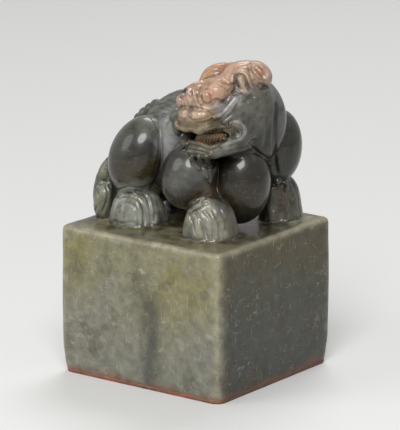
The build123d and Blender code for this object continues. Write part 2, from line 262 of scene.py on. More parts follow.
class Sculpture:
    """Distances to the whole lion, and to each named mass of it."""

    def __init__(self, low, high, step):
        self.whole = Grid(low, high, step)
        self.own = {}

    def measure(self, shape, margin):
        """The window of samples round a shape, and their distances to it."""
        cut = self.whole.window(shape.low - margin, shape.high + margin)
        return cut, shape.distance(self.whole.points(cut)).astype(np.float32)

    def add(self, node, shape, blend):
        """Join a shape to the whole and to its node."""
        cut, distance = self.measure(shape, max(LEAST_MARGIN, blend + 0.5))
        self.whole.values[cut] = smooth_min(self.whole.values[cut], distance, blend)
        self.own.setdefault(node, []).append(self.measure(shape, OWN_MARGIN))

    def cut_away(self, shape, blend):
        """Take a shape out of the whole."""
        cut, distance = self.measure(shape, max(LEAST_MARGIN, blend + 0.5))
        self.whole.values[cut] = -smooth_min(-self.whole.values[cut], distance, blend)

    def carve(self, line, width, depth):
        """Press a groove along a line into the whole."""
        line, radii = smooth_line(line, [0] * len(line), 4)
        reach = width * GROOVE_REACH
        cut = self.whole.window(line.min(0) - reach, line.max(0) + reach)
        distance = line_distance(self.whole.points(cut), line, radii)
        self.whole.values[cut] += depth * np.exp(-((distance / width) ** 2)).astype(np.float32)

    def join_ground(self):
        """Blend the lion into the block under it, and keep the lion alone for the parting."""
        grid = self.whole
        self.alone = grid.values.copy()
        cut = grid.window(grid.low, (grid.axes[0][-1], grid.axes[1][-1], JOINED_HEIGHT))
        ground = block_distance(*grid.points(cut)).astype(np.float32)
        grid.values[cut] = smooth_min(grid.values[cut], ground, JOIN_BLEND)
        self.own["seal_block"] = [(cut, ground)]

    def sample(self, points, values=None):
        """Distances at any points, between the samples."""
        grid = self.whole
        values = grid.values if values is None else values
        place = (np.asarray(points) - grid.low) / grid.step
        place = np.clip(place, 0, np.array(grid.shape) - 1.001)
        base = place.astype(int)
        share = place - base
        value = 0
        for i, j, k in product((0, 1), repeat=3):
            weight = (share[:, 0] if i else 1 - share[:, 0]) * (share[:, 1] if j else 1 - share[:, 1])
            weight = weight * (share[:, 2] if k else 1 - share[:, 2])
            value = value + weight * values[base[:, 0] + i, base[:, 1] + j, base[:, 2] + k]
        return value

    def slope(self, points):
        """The outward direction at each point."""
        step = self.whole.step
        change = np.column_stack(
            [self.sample(points + offset) - self.sample(points - offset) for offset in np.eye(3) * step]
        )
        return change / np.maximum(np.linalg.norm(change, axis=1, keepdims=True), 1e-6)

    def drop(self, starts, direction, reach=100.0):
        """Where rays from the starts first meet the surface, or pass nearest to it."""
        starts = np.asarray(starts, float)
        travel = np.arange(0, reach, STRIDE)
        places = starts[:, None, :] + travel[None, :, None] * direction[:, None, :]
        values = self.sample(places.reshape(-1, 3)).reshape(len(starts), -1)
        inside = values < 0
        first = np.where(inside.any(1), inside.argmax(1), values.argmin(1))
        rows = np.arange(len(starts))
        before = np.maximum(first - 1, 0)
        a, b = values[rows, before], values[rows, first]
        share = np.where(inside.any(1) & (a > b), a / np.maximum(a - b, 1e-6), 1.0)
        return starts + direction * (travel[before] + share * STRIDE * (first > before))[:, None]

    def on_photo(self, pixels):
        """Surface points behind these pixels of the photograph."""
        ray = pixel_rays(pixels)
        ray = ray / np.linalg.norm(ray, axis=1, keepdims=True)
        return self.drop(LENS_PLACE + ray * RAY_START, ray)


# The lion's masses, each row a node, a shape and the blend into what is already there

def body_masses():
    """Trunk, neck, mane and legs."""
    spine = (0.84, 0, 0.54)
    return [
        ("torso", Egg((-4.0, 0.6, 18.6), spine, (10.6, 11.5), (16, 18.5)), 0),
        ("torso", Egg((-13, 0, 14), (0.5, 0, 0.87), (10.2, 9.5), (12, 13)), 3),
        ("neck", Egg((12.6, 5.2, 27), (-0.1, -0.1, 1), (9.8, 9.6), (12, 12)), 2),
        ("mane", Egg((-4.2, 0.8, 22.6), spine, (9.2, 10.2), (13, 12)), 1.5),
        ("chest", Egg((13.6, 0.6, 11.4), (0.1, 0, 1), (7.7, 7.6), (10.8, 10.6)), 0.4),
        ("left_shoulder", Egg((15.7, 13.4, 18.6), (0.05, 0.05, 1), (6.4, 6.4), (10, 9.6)), 0.4),
        ("left_shoulder", Lock([(15.0, 13.6, 12), (14.6, 14.0, 8), (14.0, 14.2, 4)], (3.4, 2.8, 2.8)), 1.0),
        ("right_shoulder", Egg((5.2, -9.8, 14.0), (0.2, 0.1, 0.97), (7.2, 7.2), (9, 8.6)), 0.3),
        ("right_shoulder", Lock([(8.4, -9.2, 9), (10.2, -9.6, 6), (11.6, -9.8, 4)], (4.2, 4.2, 4.2)), 1.0),
        ("right_haunch", Egg((-11.2, -9.4, 17.4), (0.34, 0.24, 0.90), (7.5, 7.3), (10.4, 10.4)), 0.25),
        ("left_haunch", Egg((-10.4, 9.2, 17.2), (0.5, -0.05, 0.87), (7.4, 7.4), (10.4, 10.5)), 0.3),
        ("right_haunch", Egg((-12.6, -9.6, 8.0), (1, -0.1, -0.3), (3.6, 2.8), (5.0, 4.6)), 3.0),
        ("left_haunch", Egg((-11.4, 10.0, 8.0), (1, 0.1, -0.3), (3.6, 2.8), (5.0, 4.6)), 3.0),
    ]


# Paws: node, root on the block, headings and reaches of the toes, width, height
PAWS = [
    ("right_hindpaw", (-11.8, -9.6), (-104, -76, -48, -20, 6), (5.8, 6.6, 7.2, 7.6, 6.8), 10.6, 8.8),
    ("right_forepaw", (12.0, -10.0), (-102, -74, -46, -20, 6), (6.4, 7.0, 7.0, 6.6, 5.6), 10.0, 9.8),
    ("left_forepaw", (15.2, 14.8), (-54, -24, 6, 36), (4.9, 5.2, 5.2, 4.9), 9.6, 11.4),
    ("left_hindpaw", (-10.2, 10.4), (-6, 20, 48, 76, 104), (6.8, 7.6, 7.2, 6.6, 5.8), 10.6, 8.8),
]

# A toe's arch from its crest down to its tip, in degrees, and its radius there as shares of its thickness
TOE_ARCH = (98, 74, 52, 33, 16, 4)
TOE_RADIUS_SHARES = (0.6, 0.8, 1, 1, 1, 1)


def paw_masses(node, root, headings, reaches, width, height):
    """A full mound with toes that lie over it, arching outward and down to the block."""
    root = np.array([*root, 0.0])
    middle = np.radians(np.mean(headings))
    ahead = np.array([cos(middle), sin(middle), 0])
    aside = np.array([-ahead[1], ahead[0], 0])
    reach = np.mean(reaches)
    high, low = (width * 0.56, height * 0.74), (width * 0.64, height * 0.30)
    mound = Egg(root + (0, 0, height * 0.24), ahead, high, (reach * 0.95, reach * 0.9), square=2.1)
    skirt = Egg(root + ahead * 0.6, ahead, low, (reach * 1.02, reach * 0.9))
    masses = [(node, mound, 0.5), (node, skirt, 1.2)]
    toes = len(headings)
    thick = width / toes * 0.74
    for toe, (heading, reach) in enumerate(zip(headings, reaches)):
        out = np.array([cos(radians(heading)), sin(radians(heading)), 0])
        start = root + aside * width * (toe - (toes - 1) / 2) / toes * 0.50
        line = []
        for angle in np.radians(TOE_ARCH):
            rise = (height - thick) * sin(angle) ** 1.15
            line.append(start + out * (reach - thick) * cos(angle) + (0, 0, rise))
        line[-1][2] = thick * 0.5
        masses.append((node, Lock(line, thick * np.array(TOE_RADIUS_SHARES), 4), 1.3))
    return masses


def tail_masses():
    """The tail lies up against the rump: long locks, shorter ones beside them, and beads."""
    locks = [
        ((-21.2, -10.4, 0.2), (-22.2, -10.6, 5), (-21.6, -9.8, 11), (-20.0, -8.6, 15.6)),
        ((-22.0, -7.6, 0.2), (-23.0, -7.8, 6), (-22.2, -7.2, 11.4), (-20.4, -6.4, 15.2)),
        ((-19.6, -12.6, 0.2), (-20.0, -13.2, 3.4), (-19.6, -12.8, 6.4), (-18.8, -11.8, 9.0)),
        ((-22.4, -4.6, 0.2), (-23.0, -4.8, 4), (-22.4, -4.8, 8.6), (-21.0, -4.2, 12.4)),
        ((-22.2, -1.6, 0.2), (-22.8, -1.6, 3), (-22.2, -1.8, 6.6), (-21.0, -1.6, 9.4)),
    ]
    masses = [("tail", Lock(line, (2.2, 2.4, 2.1, 0.9), 5), 0.35) for line in locks]
    masses.append(("tail", Egg((-19.6, -8.6, 5.0), (0, 0.1, 1), (2.9, 3.6), (7.6, 5.4)), 0.8))
    for bead in range(5):
        place = (-24.0 + 0.18 * (bead - 2) ** 2, -10.2 + 1.9 * bead, 8.2 + 0.5 * abs(bead - 2))
        masses.append(("tail_beads", Egg(place, (0, 0, 1), (0.9, 0.9), (0.9, 0.9)), 0.1))
    return masses


def spine_masses():
    """Knuckles of the backbone between the rump and the mane."""
    line = [(-22.6, 0.3, 13.6), (-21.6, 0.3, 18), (-19.4, 0.2, 22), (-16.4, 0, 25.4), (-12.6, 0, 28.3)]
    line, sizes = smooth_line(line, (1.5, 1.8, 1.9, 1.8, 1.5), 2)
    knuckles = [Egg(place, (0, 0, 1), (1.7, size), (size, size)) for place, size in zip(line, sizes)]
    return [("spine", knuckle, 0.5) for knuckle in knuckles]


def head_masses():
    """Skull, face, crown, ears and jaw, placed in the head's own frame."""
    forward, left = along_head(0, -1, 0), along_head(1, 0, 0)
    jaw = [on_head(3.6, -9.2, -9.2), on_head(5.6, -5, -8.2), on_head(6.8, -1, -6.4)]

    def egg(node, place, ahead, half_widths, lengths, blend, square=2.0):
        return node, Egg(on_head(*place), ahead, half_widths, lengths, square=square), blend

    return [
        egg("skull", (0, 0, 0), along_head(0, -1, -0.12), (8.8, 8.2), (9.4, 10), 2.5),
        egg("skull", (4.6, 2.6, -1.0), along_head(0, 0.3, -1), (6.2, 6.2), (8.6, 8.6), 3),
        egg("skull", (-0.4, -8.0, 0.4), forward, (6.2, 6.2), (5.2, 6), 1.5, 2.6),
        egg("skull", (4.6, -4.4, -4.2), along_head(0.2, -0.5, -1), (4.4, 4.2), (5.0, 5.6), 2),
        egg("crown", (3.4, 2.0, 5.8), left, (5.4, 5.4), (5.4, 5.2), 1.0),
        egg("crown", (4.6, 4.2, 7.0), left, (5.0, 3.95), (5.0, 5.4), 1.0),
        egg("crown", (0.8, -5.4, 4.6), left, (4.6, 3.3), (5.4, 5.6), 1.2),
        egg("crown", (-0.6, 3.2, 7.5), left, (3.4, 3.1), (3.8, 3.8), 0.9),
        egg("right_ear", (-4.6, 1.2, 8.0), in_image(0.93, 0.36), (2.9, 2.3), (4.6, 3.9), 0.3),
        egg("left_ear", (7.6, 4.6, 7.62), in_image(0.66, -0.75), (3.2, 2.5), (3.6, 3.9), 0.5),
        egg("right_ear_lock", (-6.4, -1.6, 6.0), along_head(0.2, 0.3, 1), (1.3, 1.4), (2.4, 2.2), 0.5),
        egg("muzzle", (-0.3, -10.4, -0.8), forward, (5.5, 3.2), (4.6, 5), 0.8, 2.8),
        egg("muzzle", (-0.2, -10.2, -3.0), forward, (5.4, 2.2), (4.4, 5), 0.6, 2.6),
        egg("nose", (-0.4, -12.3, 3.2), left, (2.5, 2.4), (3.7, 3.8), 0.6, 2.4),
        egg("nose", (-0.4, -10.8, 5.2), along_head(0, 1, 0.5), (2.0, 1.4), (2.8, 2.8), 0.8),
        egg("right_brow", (-4.2, -8.9, 4.5), along_head(-0.9, 0.3, 0.35), (1.7, 1.7), (1.9, 1.9), 0.4),
        egg("right_eye", (-4.8, -10.4, 4.2), along_head(0.1, 0, 1), (1.2, 1.2), (1.4, 1.4), 0.15),
        egg("right_jowl", (-5.6, -12.2, -3.2), along_head(0, -0.15, 1), (1.5, 2.5), (3.2, 3.0), 0.6),
        egg("lower_jaw", (0, -8.4, -9.4), along_head(0, -1, -0.06), (5.2, 2.0), (4.7, 5), 0.4, 3),
        egg("lower_jaw", (0.2, -11.2, -9.9), left, (1.9, 1.5), (4.6, 4.6), 0.6),
        ("lower_jaw", Lock(jaw, (2.0, 2.2, 2.0), 5), 1.2),
        egg("lower_jaw", (3.2, -2.8, -9.2), forward, (4.0, 2.8), (5.4, 5), 1.5),
    ]


def mane_lock_masses():
    """Round locks in rows over the back and the nape, each standing out a little."""
    masses = []
    for row in range(3):
        for place in range(5 - row % 2):
            side = (place - (4 - row % 2) / 2) * 3.9
            middle = np.array([-1.0 - 4.3 * row, side, 32.6 - 2.7 * row - 0.055 * side**2])
            out = unit((-0.55, side * 0.09, 0.9))
            masses.append(("mane_locks", Egg(middle - out * 0.7, out, (1.9, 1.9), (1.5, 2.4)), 0.3))
    return masses


# Bumps on the near side, by the photo pixel of their middle: node, pixel, long way (degrees
# above the image's right), half length, half width and rise in mm, and blend
BUMPS = {
    "near eyelid": ("left_brow", (217, 91), 26, 3.6, 2.5, 2.3, 0.15),
    "near eyeball": ("left_eye", (206.3, 97.6), 100, 1.95, 1.75, 1.25, 0.1),
    "near nose wing": ("nose", (193, 102), 70, 1.6, 0.9, 0.4, 0.3),
    "far nose wing": ("nose", (179.5, 101.5), 84, 1.6, 0.9, 0.8, 0.2),
    "near whisker pad": ("muzzle", (199.5, 114.5), -8, 2.5, 1.6, 0.65, 0.3),
    "far whisker pad": ("muzzle", (185, 113.5), 80, 1.6, 1.1, 0.5, 0.3),
    "lock before the ear": ("left_ear_lock", (241, 82), -74, 1.9, 1.2, 1.1, 0.25),
    "swelling of the curl": ("left_jowl", (236.5, 131.5), 60, 2.4, 2.1, 0.45, 0.5),
    "bead over the curl": ("left_jowl", (233, 124.8), 90, 0.5, 0.45, 0.4, 0.1),
    "cheek by the mouth": ("muzzle", (213, 123), 10, 2.6, 1.5, 0.7, 0.5),
    "brow end": ("left_brow", (228, 84), 20, 2.2, 1.3, 0.8, 0.4),
    "bead of the near forepaw": ("right_forepaw_tuft", (190.5, 211), 90, 0.8, 0.75, 0.6, 0.1),
    "bead of the far forepaw": ("left_forepaw_tuft", (277.5, 181), 90, 1.1, 1.05, 1.2, 0.1),
    "small bead of the far forepaw": ("left_forepaw_tuft", (284, 184.5), 90, 0.7, 0.7, 0.7, 0.1),
    "fold of the far forepaw": ("left_forepaw_tuft", (287, 187), 10, 2.0, 0.8, 0.5, 0.2),
}

# Round ribs on the near side: node, radius and rise in mm, blend, and the photo pixels of its line
RIBS = {
    "upper lip": ("muzzle", 0.95, 0.55, 0.3, [(178, 127), (184, 129.5), (191, 129), (199, 132.2),
        (204, 130), (210, 126.8), (218, 126.5), (226, 126.5)]),
    "brow": ("left_brow", 0.95, 0.6, 0.35, [(186, 90), (192, 86), (200, 83), (209, 81.5), (219, 81),
        (228, 83)]),
    "bridge of the nose": ("nose", 0.8, 0.3, 0.3, [(189, 89), (188, 94), (188.5, 100), (190, 105)]),
    "fold from nose to cheek": ("nose", 0.75, 0.5, 0.3, [(193, 91), (195, 97), (197, 104), (201, 108)]),
    "lower eyelid": ("left_brow", 0.5, 0.4, 0.12, [(199.5, 93), (199.8, 99), (203, 104.5), (209, 105.6),
        (215, 103.6)]),
    "cheek crescent": ("skull", 1.1, 0.95, 0.4, [(240, 96.5), (234, 100), (229.5, 107), (223, 113.5),
        (213, 117.5)]),
    "lower lip": ("lower_jaw", 0.6, 0.45, 0.2, [(187, 143.6), (190, 142), (200, 143), (209, 147),
        (216, 146), (223, 141), (229, 135)]),
    "chin roll": ("lower_jaw", 0.6, 0.4, 0.25, [(188, 151.2), (192, 151), (201, 152.5), (211, 154.5)]),
    "rim round the ear lock": ("crown", 0.7, 0.5, 0.25, [(231, 83), (232.5, 77), (237, 72.8),
        (243, 72.8), (247.5, 78), (250, 85), (253, 89)]),
    "lip of the near ear": ("left_ear", 0.6, 0.4, 0.2, [(251.5, 69), (256, 73.5), (260.5, 78)]),
    "edge of the near ear": ("left_ear", 0.8, 0.45, 0.3, [(252, 63), (260, 65), (266, 70.5), (268, 77),
        (265, 82)]),
    "curl at the mouth": ("left_jowl", 0.6, 0.55, 0.12, [(229, 127), (231, 122.8), (237, 122),
        (243, 126), (244.6, 132), (241, 138), (234, 141), (227, 144), (220, 147)]),
    "inner curl at the mouth": ("left_jowl", 0.5, 0.45, 0.1, [(230, 131), (231.5, 136), (236, 137.6),
        (239.5, 135), (239, 130.5), (235.6, 129)]),
    "near beard lock": ("beard", 1.0, 0.8, 0.2, [(214, 154), (215.5, 162), (213.5, 170), (210.5, 178)]),
    "middle beard lock": ("beard", 1.0, 0.9, 0.2, [(207, 155), (208.6, 164), (209.4, 172), (209, 181)]),
    "far beard lock": ("beard", 1.0, 0.8, 0.2, [(199.5, 156), (201.6, 164), (204.4, 171), (207.4, 177)]),
    "farthest beard lock": ("beard", 0.9, 0.7, 0.2, [(192.5, 156), (195, 163), (198.6, 168.5)]),
    "far flap": ("right_jowl", 0.6, 0.4, 0.2, [(178, 113.5), (176, 120), (177, 127), (181, 132)]),
}

# Grooves on the near side: width and depth in mm, and the photo pixels of each line
GROOVES = {
    "round the near eyeball": (0.42, 0.9, [(202.5, 90.5), (199.6, 94), (199.4, 99), (202.5, 103.6),
        (208, 104.8), (213, 101.5)]),
    "over the near eyeball": (0.4, 0.8, [(203, 90.5), (208, 89.5), (211.5, 92.5), (212.5, 98)]),
    "under the brow": (0.5, 1.0, [(201.5, 92), (204.5, 87), (211, 84.2), (219, 83.6), (226, 86.4),
        (229.5, 91)]),
    "behind the eyelid": (0.5, 0.9, [(229.5, 91), (228, 96), (223.5, 101), (217, 104.4), (210, 106.5),
        (203.5, 106)]),
    "dot by the eye": (0.4, 0.5, [(216.6, 99.8), (217.8, 100.4)]),
    "beside the bridge": (0.35, 0.45, [(185.4, 91), (184.5, 96), (185.6, 101.5), (186.5, 105)]),
    "near nostril": (0.45, 0.6, [(185.6, 101), (186.4, 103)]),
    "inside the nose fold": (0.35, 0.4, [(191, 92), (192.2, 97), (194, 104), (196.6, 107.8)]),
    "under the nose": (0.45, 0.5, [(177, 107.8), (183, 107.6), (190, 107.5), (197, 109.6), (205, 109.8)]),
    "between the whisker pads": (0.38, 0.45, [(190.4, 109), (190.2, 114), (190.6, 119)]),
    "under the pads": (0.4, 0.35, [(178, 119), (186, 120), (194, 120.6), (203, 119.8), (209, 117)]),
    "over the lip": (0.35, 0.35, [(179, 123.6), (188, 125), (197, 126.6), (204, 124.6), (211, 122),
        (220, 118.5), (228, 113)]),
    "first lip fold": (0.3, 0.3, [(211, 113), (217, 112.5), (222.5, 109), (227, 103), (231, 98.5)]),
    "lower lip folds": (0.35, 0.35,
        [(212, 120.6), (219, 118.4), (226, 113.5), (232, 107)],
        [(209, 127.5), (216, 124.6), (223, 124), (228, 126)]),
    "middle of the curl": (0.55, 0.6, [(235.4, 131), (236.6, 133)]),
    "across the chin": (0.38, 0.5, [(185, 148.6), (191, 147.4), (200, 149), (209, 151.6)]),
    "behind the chin": (0.4, 0.45, [(214, 150), (222, 147.5), (230, 143), (236, 140)]),
    "lines of the far pad": (0.2, 0.12,
        [(181, 110), (180.6, 114), (181.4, 118)],
        [(185.4, 109.6), (185, 114), (185.6, 118.4)]),
    "first line of the near pad": (0.2, 0.1, [(195, 110.4), (194.6, 115), (195.4, 119.4)]),
    "second line of the near pad": (0.2, 0.12, [(200, 110.6), (200.4, 115), (200.8, 119.4)]),
    "fine lines of the face": (0.25, 0.3,
        [(178, 121), (186, 122.4), (196, 123.2), (205, 122), (212, 118.6)],
        [(204, 108.4), (211, 108.4), (218, 106), (224, 102)],
        [(207, 111), (214, 110.4), (221, 107.4), (226.6, 102.6)],
        [(192, 84.6), (199, 80.6), (207, 78.8)],
        [(196, 90), (195.4, 93), (197, 97)],
        [(181, 92), (181.4, 96), (182.6, 100)]),
    "line across the crown": (0.28, 0.16, [(232, 71), (240, 67), (249, 65.4)]),
    "second line across the crown": (0.25, 0.12, [(233, 66), (241, 62.8), (250, 62)]),
    "fold below the ear lock": (0.35, 0.45, [(236, 90), (241, 95), (247, 97.5), (253, 97)]),
    "second fold below the ear lock": (0.3, 0.3, [(234, 94), (240, 99), (247, 101.5)]),
    "hollow of the near ear": (0.5, 0.8, [(256, 67.4), (259.6, 71), (263, 75.6)]),
    "hollow of the far ear": (0.7, 0.6, [(222, 68), (225.5, 66.6), (228, 68)]),
    "between crown and far ear": (0.45, 0.6, [(230.6, 63), (231.4, 68), (229.5, 74), (226, 79)]),
    "under the far ear": (0.4, 0.45, [(203, 80.5), (211, 79.8), (220, 78.8), (228, 77.6)]),
    "fold of the far ear": (0.3, 0.25, [(206, 74.5), (212, 71), (219, 69.5)]),
    "inside the ear rim": (0.35, 0.3, [(235, 82), (235.4, 77.6), (239.6, 75), (244, 77), (246.4, 83),
        (249, 89)]),
    "in front of the near ear": (0.45, 0.5, [(249, 66), (250.5, 73), (254, 81), (260, 86)]),
    "behind the brow": (0.4, 0.4, [(232, 84), (234, 89), (239, 92)]),
    "under the near ear": (0.45, 0.5, [(273, 80), (268, 87), (261, 88)]),
    "beside the neck": (0.6, 0.8, [(276, 104), (275, 120), (274.5, 140), (274.5, 158), (276, 172)]),
    "right crease of the chest": (0.42, 0.45, [(250, 146), (257, 152), (265, 158.6), (271, 163)]),
    "left crease of the chest": (0.42, 0.35, [(229, 152), (238, 149.4), (247, 147)]),
    "hollow of the throat": (0.7, 0.4, [(266, 118), (267, 132), (265, 146)]),
    "between shoulder and chest": (0.6, 0.45, [(219, 157), (219.6, 168), (218.5, 182), (217, 196)]),
    "round the haunch": (0.4, 0.35, [(141, 113.5), (147, 115.5), (153, 119), (157.4, 128), (159.4, 140),
        (159.2, 152), (156, 165)]),
    "hairs of the back": (0.26, 0.24,
        [(148, 112), (158, 109.5), (168, 106), (179, 102)],
        [(146, 115), (153, 113.5), (160, 112)],
        [(152, 107), (161, 104), (170, 100.5), (180, 97.5)],
        [(153, 102), (162, 99), (172, 95.5), (182, 93.5)],
        [(158, 99.5), (167, 96), (176, 92), (184, 90)],
        [(163, 113.5), (169, 110.5), (175, 106), (180, 104.5)],
        [(168, 117), (173, 112.5), (178, 109.5)]),
    "last hair of the back": (0.26, 0.22, [(166, 124), (170, 120), (176, 116)]),
    "curl on the back": (0.28, 0.3, [(163, 119), (165.5, 116.5), (163.5, 114.5), (160.5, 115.5),
        (160, 119), (163, 122)]),
    "first hair of the near hindpaw": (0.34, 0.4, [(126, 196), (135, 196), (141, 203), (144, 213),
        (144, 225)]),
    "inner hairs of the near hindpaw": (0.34, 0.42,
        [(136, 191), (145, 195), (149, 204), (151, 214), (151, 224)],
        [(143, 189), (150, 194), (153.5, 202), (155, 212), (154.5, 221)]),
    "fourth hair of the near hindpaw": (0.32, 0.34, [(119, 214), (119, 206), (124, 201), (131, 202),
        (136, 209), (138.5, 218), (138.5, 225)]),
    "claw line of the near hindpaw": (0.4, 0.4, [(115, 221.5), (121, 223.6), (133, 223)]),
    "first lock over the near hindpaw": (0.38, 0.5, [(151, 184), (158, 192), (162, 199), (164, 208)]),
    "second lock over the near hindpaw": (0.3, 0.35, [(154, 183), (161, 188.5), (165.5, 197), (167, 205)]),
    "top of the near hindpaw": (0.35, 0.35, [(113, 201), (119, 196.5), (127, 194.5), (137, 192)]),
    "fur under the haunch": (0.3, 0.3, [(117, 190), (127, 187), (138, 187.5), (147, 186)]),
    "first toe line of the near forepaw": (0.35, 0.38, [(196, 212), (200, 219), (204, 229), (207, 239)]),
    "inner toe lines of the near forepaw": (0.35, 0.36,
        [(204, 211), (209.5, 218), (212.6, 228), (213.5, 239)],
        [(213, 211), (217, 219), (219.5, 229), (220, 239)]),
    "fourth toe line of the near forepaw": (0.3, 0.32, [(220, 210), (224, 218), (226, 229)]),
    "outer toe line of the near forepaw": (0.3, 0.3, [(190, 216), (193, 224), (195, 233)]),
    "split of the far forepaw": (0.8, 1.3, [(280, 188), (279.6, 198), (280, 208), (280.5, 219)]),
    "crack of the far forepaw": (0.35, 0.5, [(296, 189), (291.5, 200), (288.5, 211), (287, 219)]),
    "hair of the far forepaw": (0.28, 0.28, [(274, 188), (273, 198), (273.5, 210)]),
    "across the tail": (0.45, 0.45, [(95, 181), (100, 180.5), (105, 182), (110, 187)]),
    "long hairs of the tail": (0.35, 0.35,
        [(98, 185), (98.5, 195), (97, 205), (95, 213)],
        [(104, 184), (108, 192), (107, 201), (103, 211)]),
    "third hair of the tail": (0.35, 0.3, [(99, 163), (97.5, 171), (98, 179)]),
}

# Middles of the forelegs' curls and of the web in the mouth, and the strands before that web, in photo
# pixels; the lock that sweeps out of each curl, in mm right, up and nearer in the photo; and how many
# times as far as it looks a line may run before it counts as broken
FORELEG_CURL, FAR_CURL = (206, 204), (283, 186)
WEB = (212.5, 136)
STRANDS = [[(u + 2.4, 134), (u, 137.5), (u - 1.6, 141)] for u in range(197, 226, 3)]
SWEEP = ((-1.5, -0.4, 0), (-2.8, -1.0, -0.2), (-4.0, -2.2, -0.8))
STEEPEST = 2.2


def sculpt_lion():
    """The whole carving as one field, with each node's own masses beside it."""
    lion = Sculpture(LION_LOW, LION_HIGH, STEP)
    masses = body_masses() + spine_masses() + tail_masses() + head_masses() + mane_lock_masses()
    for paw in PAWS:
        masses += paw_masses(*paw)
    for node, shape, blend in masses:
        lion.add(node, shape, blend)
    for bump in BUMPS.values():
        add_bump(lion, *bump)
    open_mouth(lion)
    for rib in RIBS.values():
        add_rib(lion, *rib)
    add_tufts(lion)
    add_curls(lion)
    for width, depth, *lines in GROOVES.values():
        for line in lines:
            for part in unbroken(lion, line):
                lion.carve(part, width, depth)
    comb_mane(lion)
    line_far_paws(lion)
    return lion


def add_bump(lion, node, pixel, turn, half_length, half_width, rise, blend):
    """A smooth swelling on the surface behind a photo pixel."""
    place = lion.on_photo([pixel])
    out = lion.slope(place)[0]
    ahead = in_image(cos(radians(turn)), sin(radians(turn)))
    ahead = unit(ahead - out * (ahead @ out))
    depth = max(rise * 1.5, min(half_length, half_width) * 0.9)
    centre = place[0] + out * (rise - depth)
    wider = 1 / np.sqrt(max(1 - ((depth - rise) / depth) ** 2, 0.2))
    shape = Egg(centre, ahead, (half_width * wider, depth), (half_length * wider,) * 2, up=out)
    lion.add(node, shape, blend)


def unbroken(lion, pixels):
    """Surface points behind a line of pixels, parted where it passes to another mass behind."""
    places = lion.on_photo(pixels)
    parts = [[places[0]]]
    for index in range(1, len(places)):
        flat = np.linalg.norm(np.subtract(pixels[index], pixels[index - 1])) / PIXELS_PER_MM
        if np.linalg.norm(places[index] - places[index - 1]) > STEEPEST * flat + 2.0:
            parts.append([])
        parts[-1].append(places[index])
    return [np.array(part) for part in parts if len(part) > 1]


def add_rib(lion, node, radius, rise, blend, line):
    """A round rib along photo pixels, half sunk in the surface and thinner at its ends."""
    for places in unbroken(lion, line):
        out = lion.slope(places)
        radii = np.full(len(places), radius)
        radii[[0, -1]] *= 0.55
        lion.add(node, Lock(places + out * (rise - radii)[:, None], radii, 5), blend)


def open_mouth(lion):
    """Hollow the mouth, then set in the tongue and the web of strands in its near corner."""
    forward = along_head(0, -1, 0)
    lion.cut_away(Egg(on_head(1.6, -10.6, -6.1), forward, (5.8, 1.45), (6.4, 4.4), square=2.6), 0.3)
    lion.cut_away(Egg(on_head(5.4, -6.6, -5.7), forward, (2.2, 1.2), (4.0, 2.8)), 0.3)
    lion.add("tongue", Egg(on_head(0.4, -9.0, -7.7), forward, (3.2, 0.8), (3.8, 4)), 0.3)
    lion.add("tongue", Egg(on_head(-3.3, -10.2, -6.2), forward, (1.2, 2.8), (4.4, 4)), 0.3)
    lip = on_head(3.4, -9.0, -6)
    web = Egg(seen(WEB, lip, -0.7), in_image(1, 0.12), (0.9, 2.3), (4.4, 4.2))
    lion.add("teeth", web, 0.3)
    for strand in STRANDS:
        for part in unbroken(lion, strand):
            lion.add("teeth", Lock(part + TO_CAMERA * 0.15, [0.32] * len(part), 4), 0.08)


def add_tufts(lion):
    """Locks that sweep up and back over the hind paws."""
    for node, root, side in (
        ("right_hindpaw_tuft", (-6.6, -8.6, 3.4), -1), ("left_hindpaw_tuft", (-5.4, 9.4, 3.4), 1),
    ):
        for lock in range(4):
            start = np.array(root) + (0.5 - 0.9 * lock, side * 1.35 * lock, 0.5 * lock)
            bend = start + (-1.0, side * 0.2, 3.0)
            tip = bend + (-2.6, -side * 0.3, 2.8)
            lion.add(node, Lock([start, bend, tip], (0.9, 0.85, 0.2), 5), 0.25)


def add_curls(lion):
    """A curl on each foreleg, with a lock that sweeps out of it."""
    near = lion.on_photo([FORELEG_CURL])[0] + TO_CAMERA * 0.3
    far = lion.on_photo([FAR_CURL])[0] + TO_CAMERA * 0.2
    for node, middle in (("right_forepaw_tuft", near), ("left_forepaw_tuft", far)):
        lion.add(node, Egg(middle - TO_CAMERA * 1.2, TO_CAMERA, (1.7, 1.7), (1.4, 1.8)), 0.4)
        curl = []
        for turn in np.linspace(0, 3.2 * pi, 20):
            curl.append(middle + in_image(cos(-turn - 0.6), sin(-turn - 0.6)) * (0.25 + 0.13 * turn))
        lion.add(node, Lock(curl, np.linspace(0.3, 0.42, 20), 1), 0.1)
        sweep = [middle + in_image(*way) for way in SWEEP]
        lion.add(node, Lock(sweep, (0.7, 0.65, 0.3), 4), 0.2)


def comb_mane(lion):
    """Fine hair engraved over the nape and the back, flowing away from the head."""
    for strand, side in enumerate(np.linspace(-9.5, 9.5, 22)):
        line = []
        for travel in np.linspace(0, 1, 7):
            x = 1.5 - travel * (11 + 2.0 * sin(strand * 2.1))
            y = side * (1 - 0.28 * travel) + 0.7 * sin(travel * 5 + strand * 0.9) + 1.2 * (1 - travel)
            line.append((x, y, 44))
        line = lion.drop(line, np.tile((0, 0, -1.0), (len(line), 1)), 40)
        lion.carve(line, 0.3, 0.26)


def line_far_paws(lion):
    """Grooves between the toes of the two paws that the photograph hides."""
    for _, root, headings, reaches, _, height in PAWS[2:]:
        for one, two, reach in zip(headings, headings[1:], reaches):
            middle = radians((one + two) / 2)
            out = np.array([cos(middle), sin(middle), 0])
            rise = np.linspace(0.4, 0.82 * height, 7)
            starts = np.array([*root, 0]) + out * (reach + 4) + rise[:, None] * (0, 0, 1)
            line = lion.drop(starts, np.tile(-out, (len(rise), 1)), reach + 4)
            lion.carve(line, 0.36, 0.5)


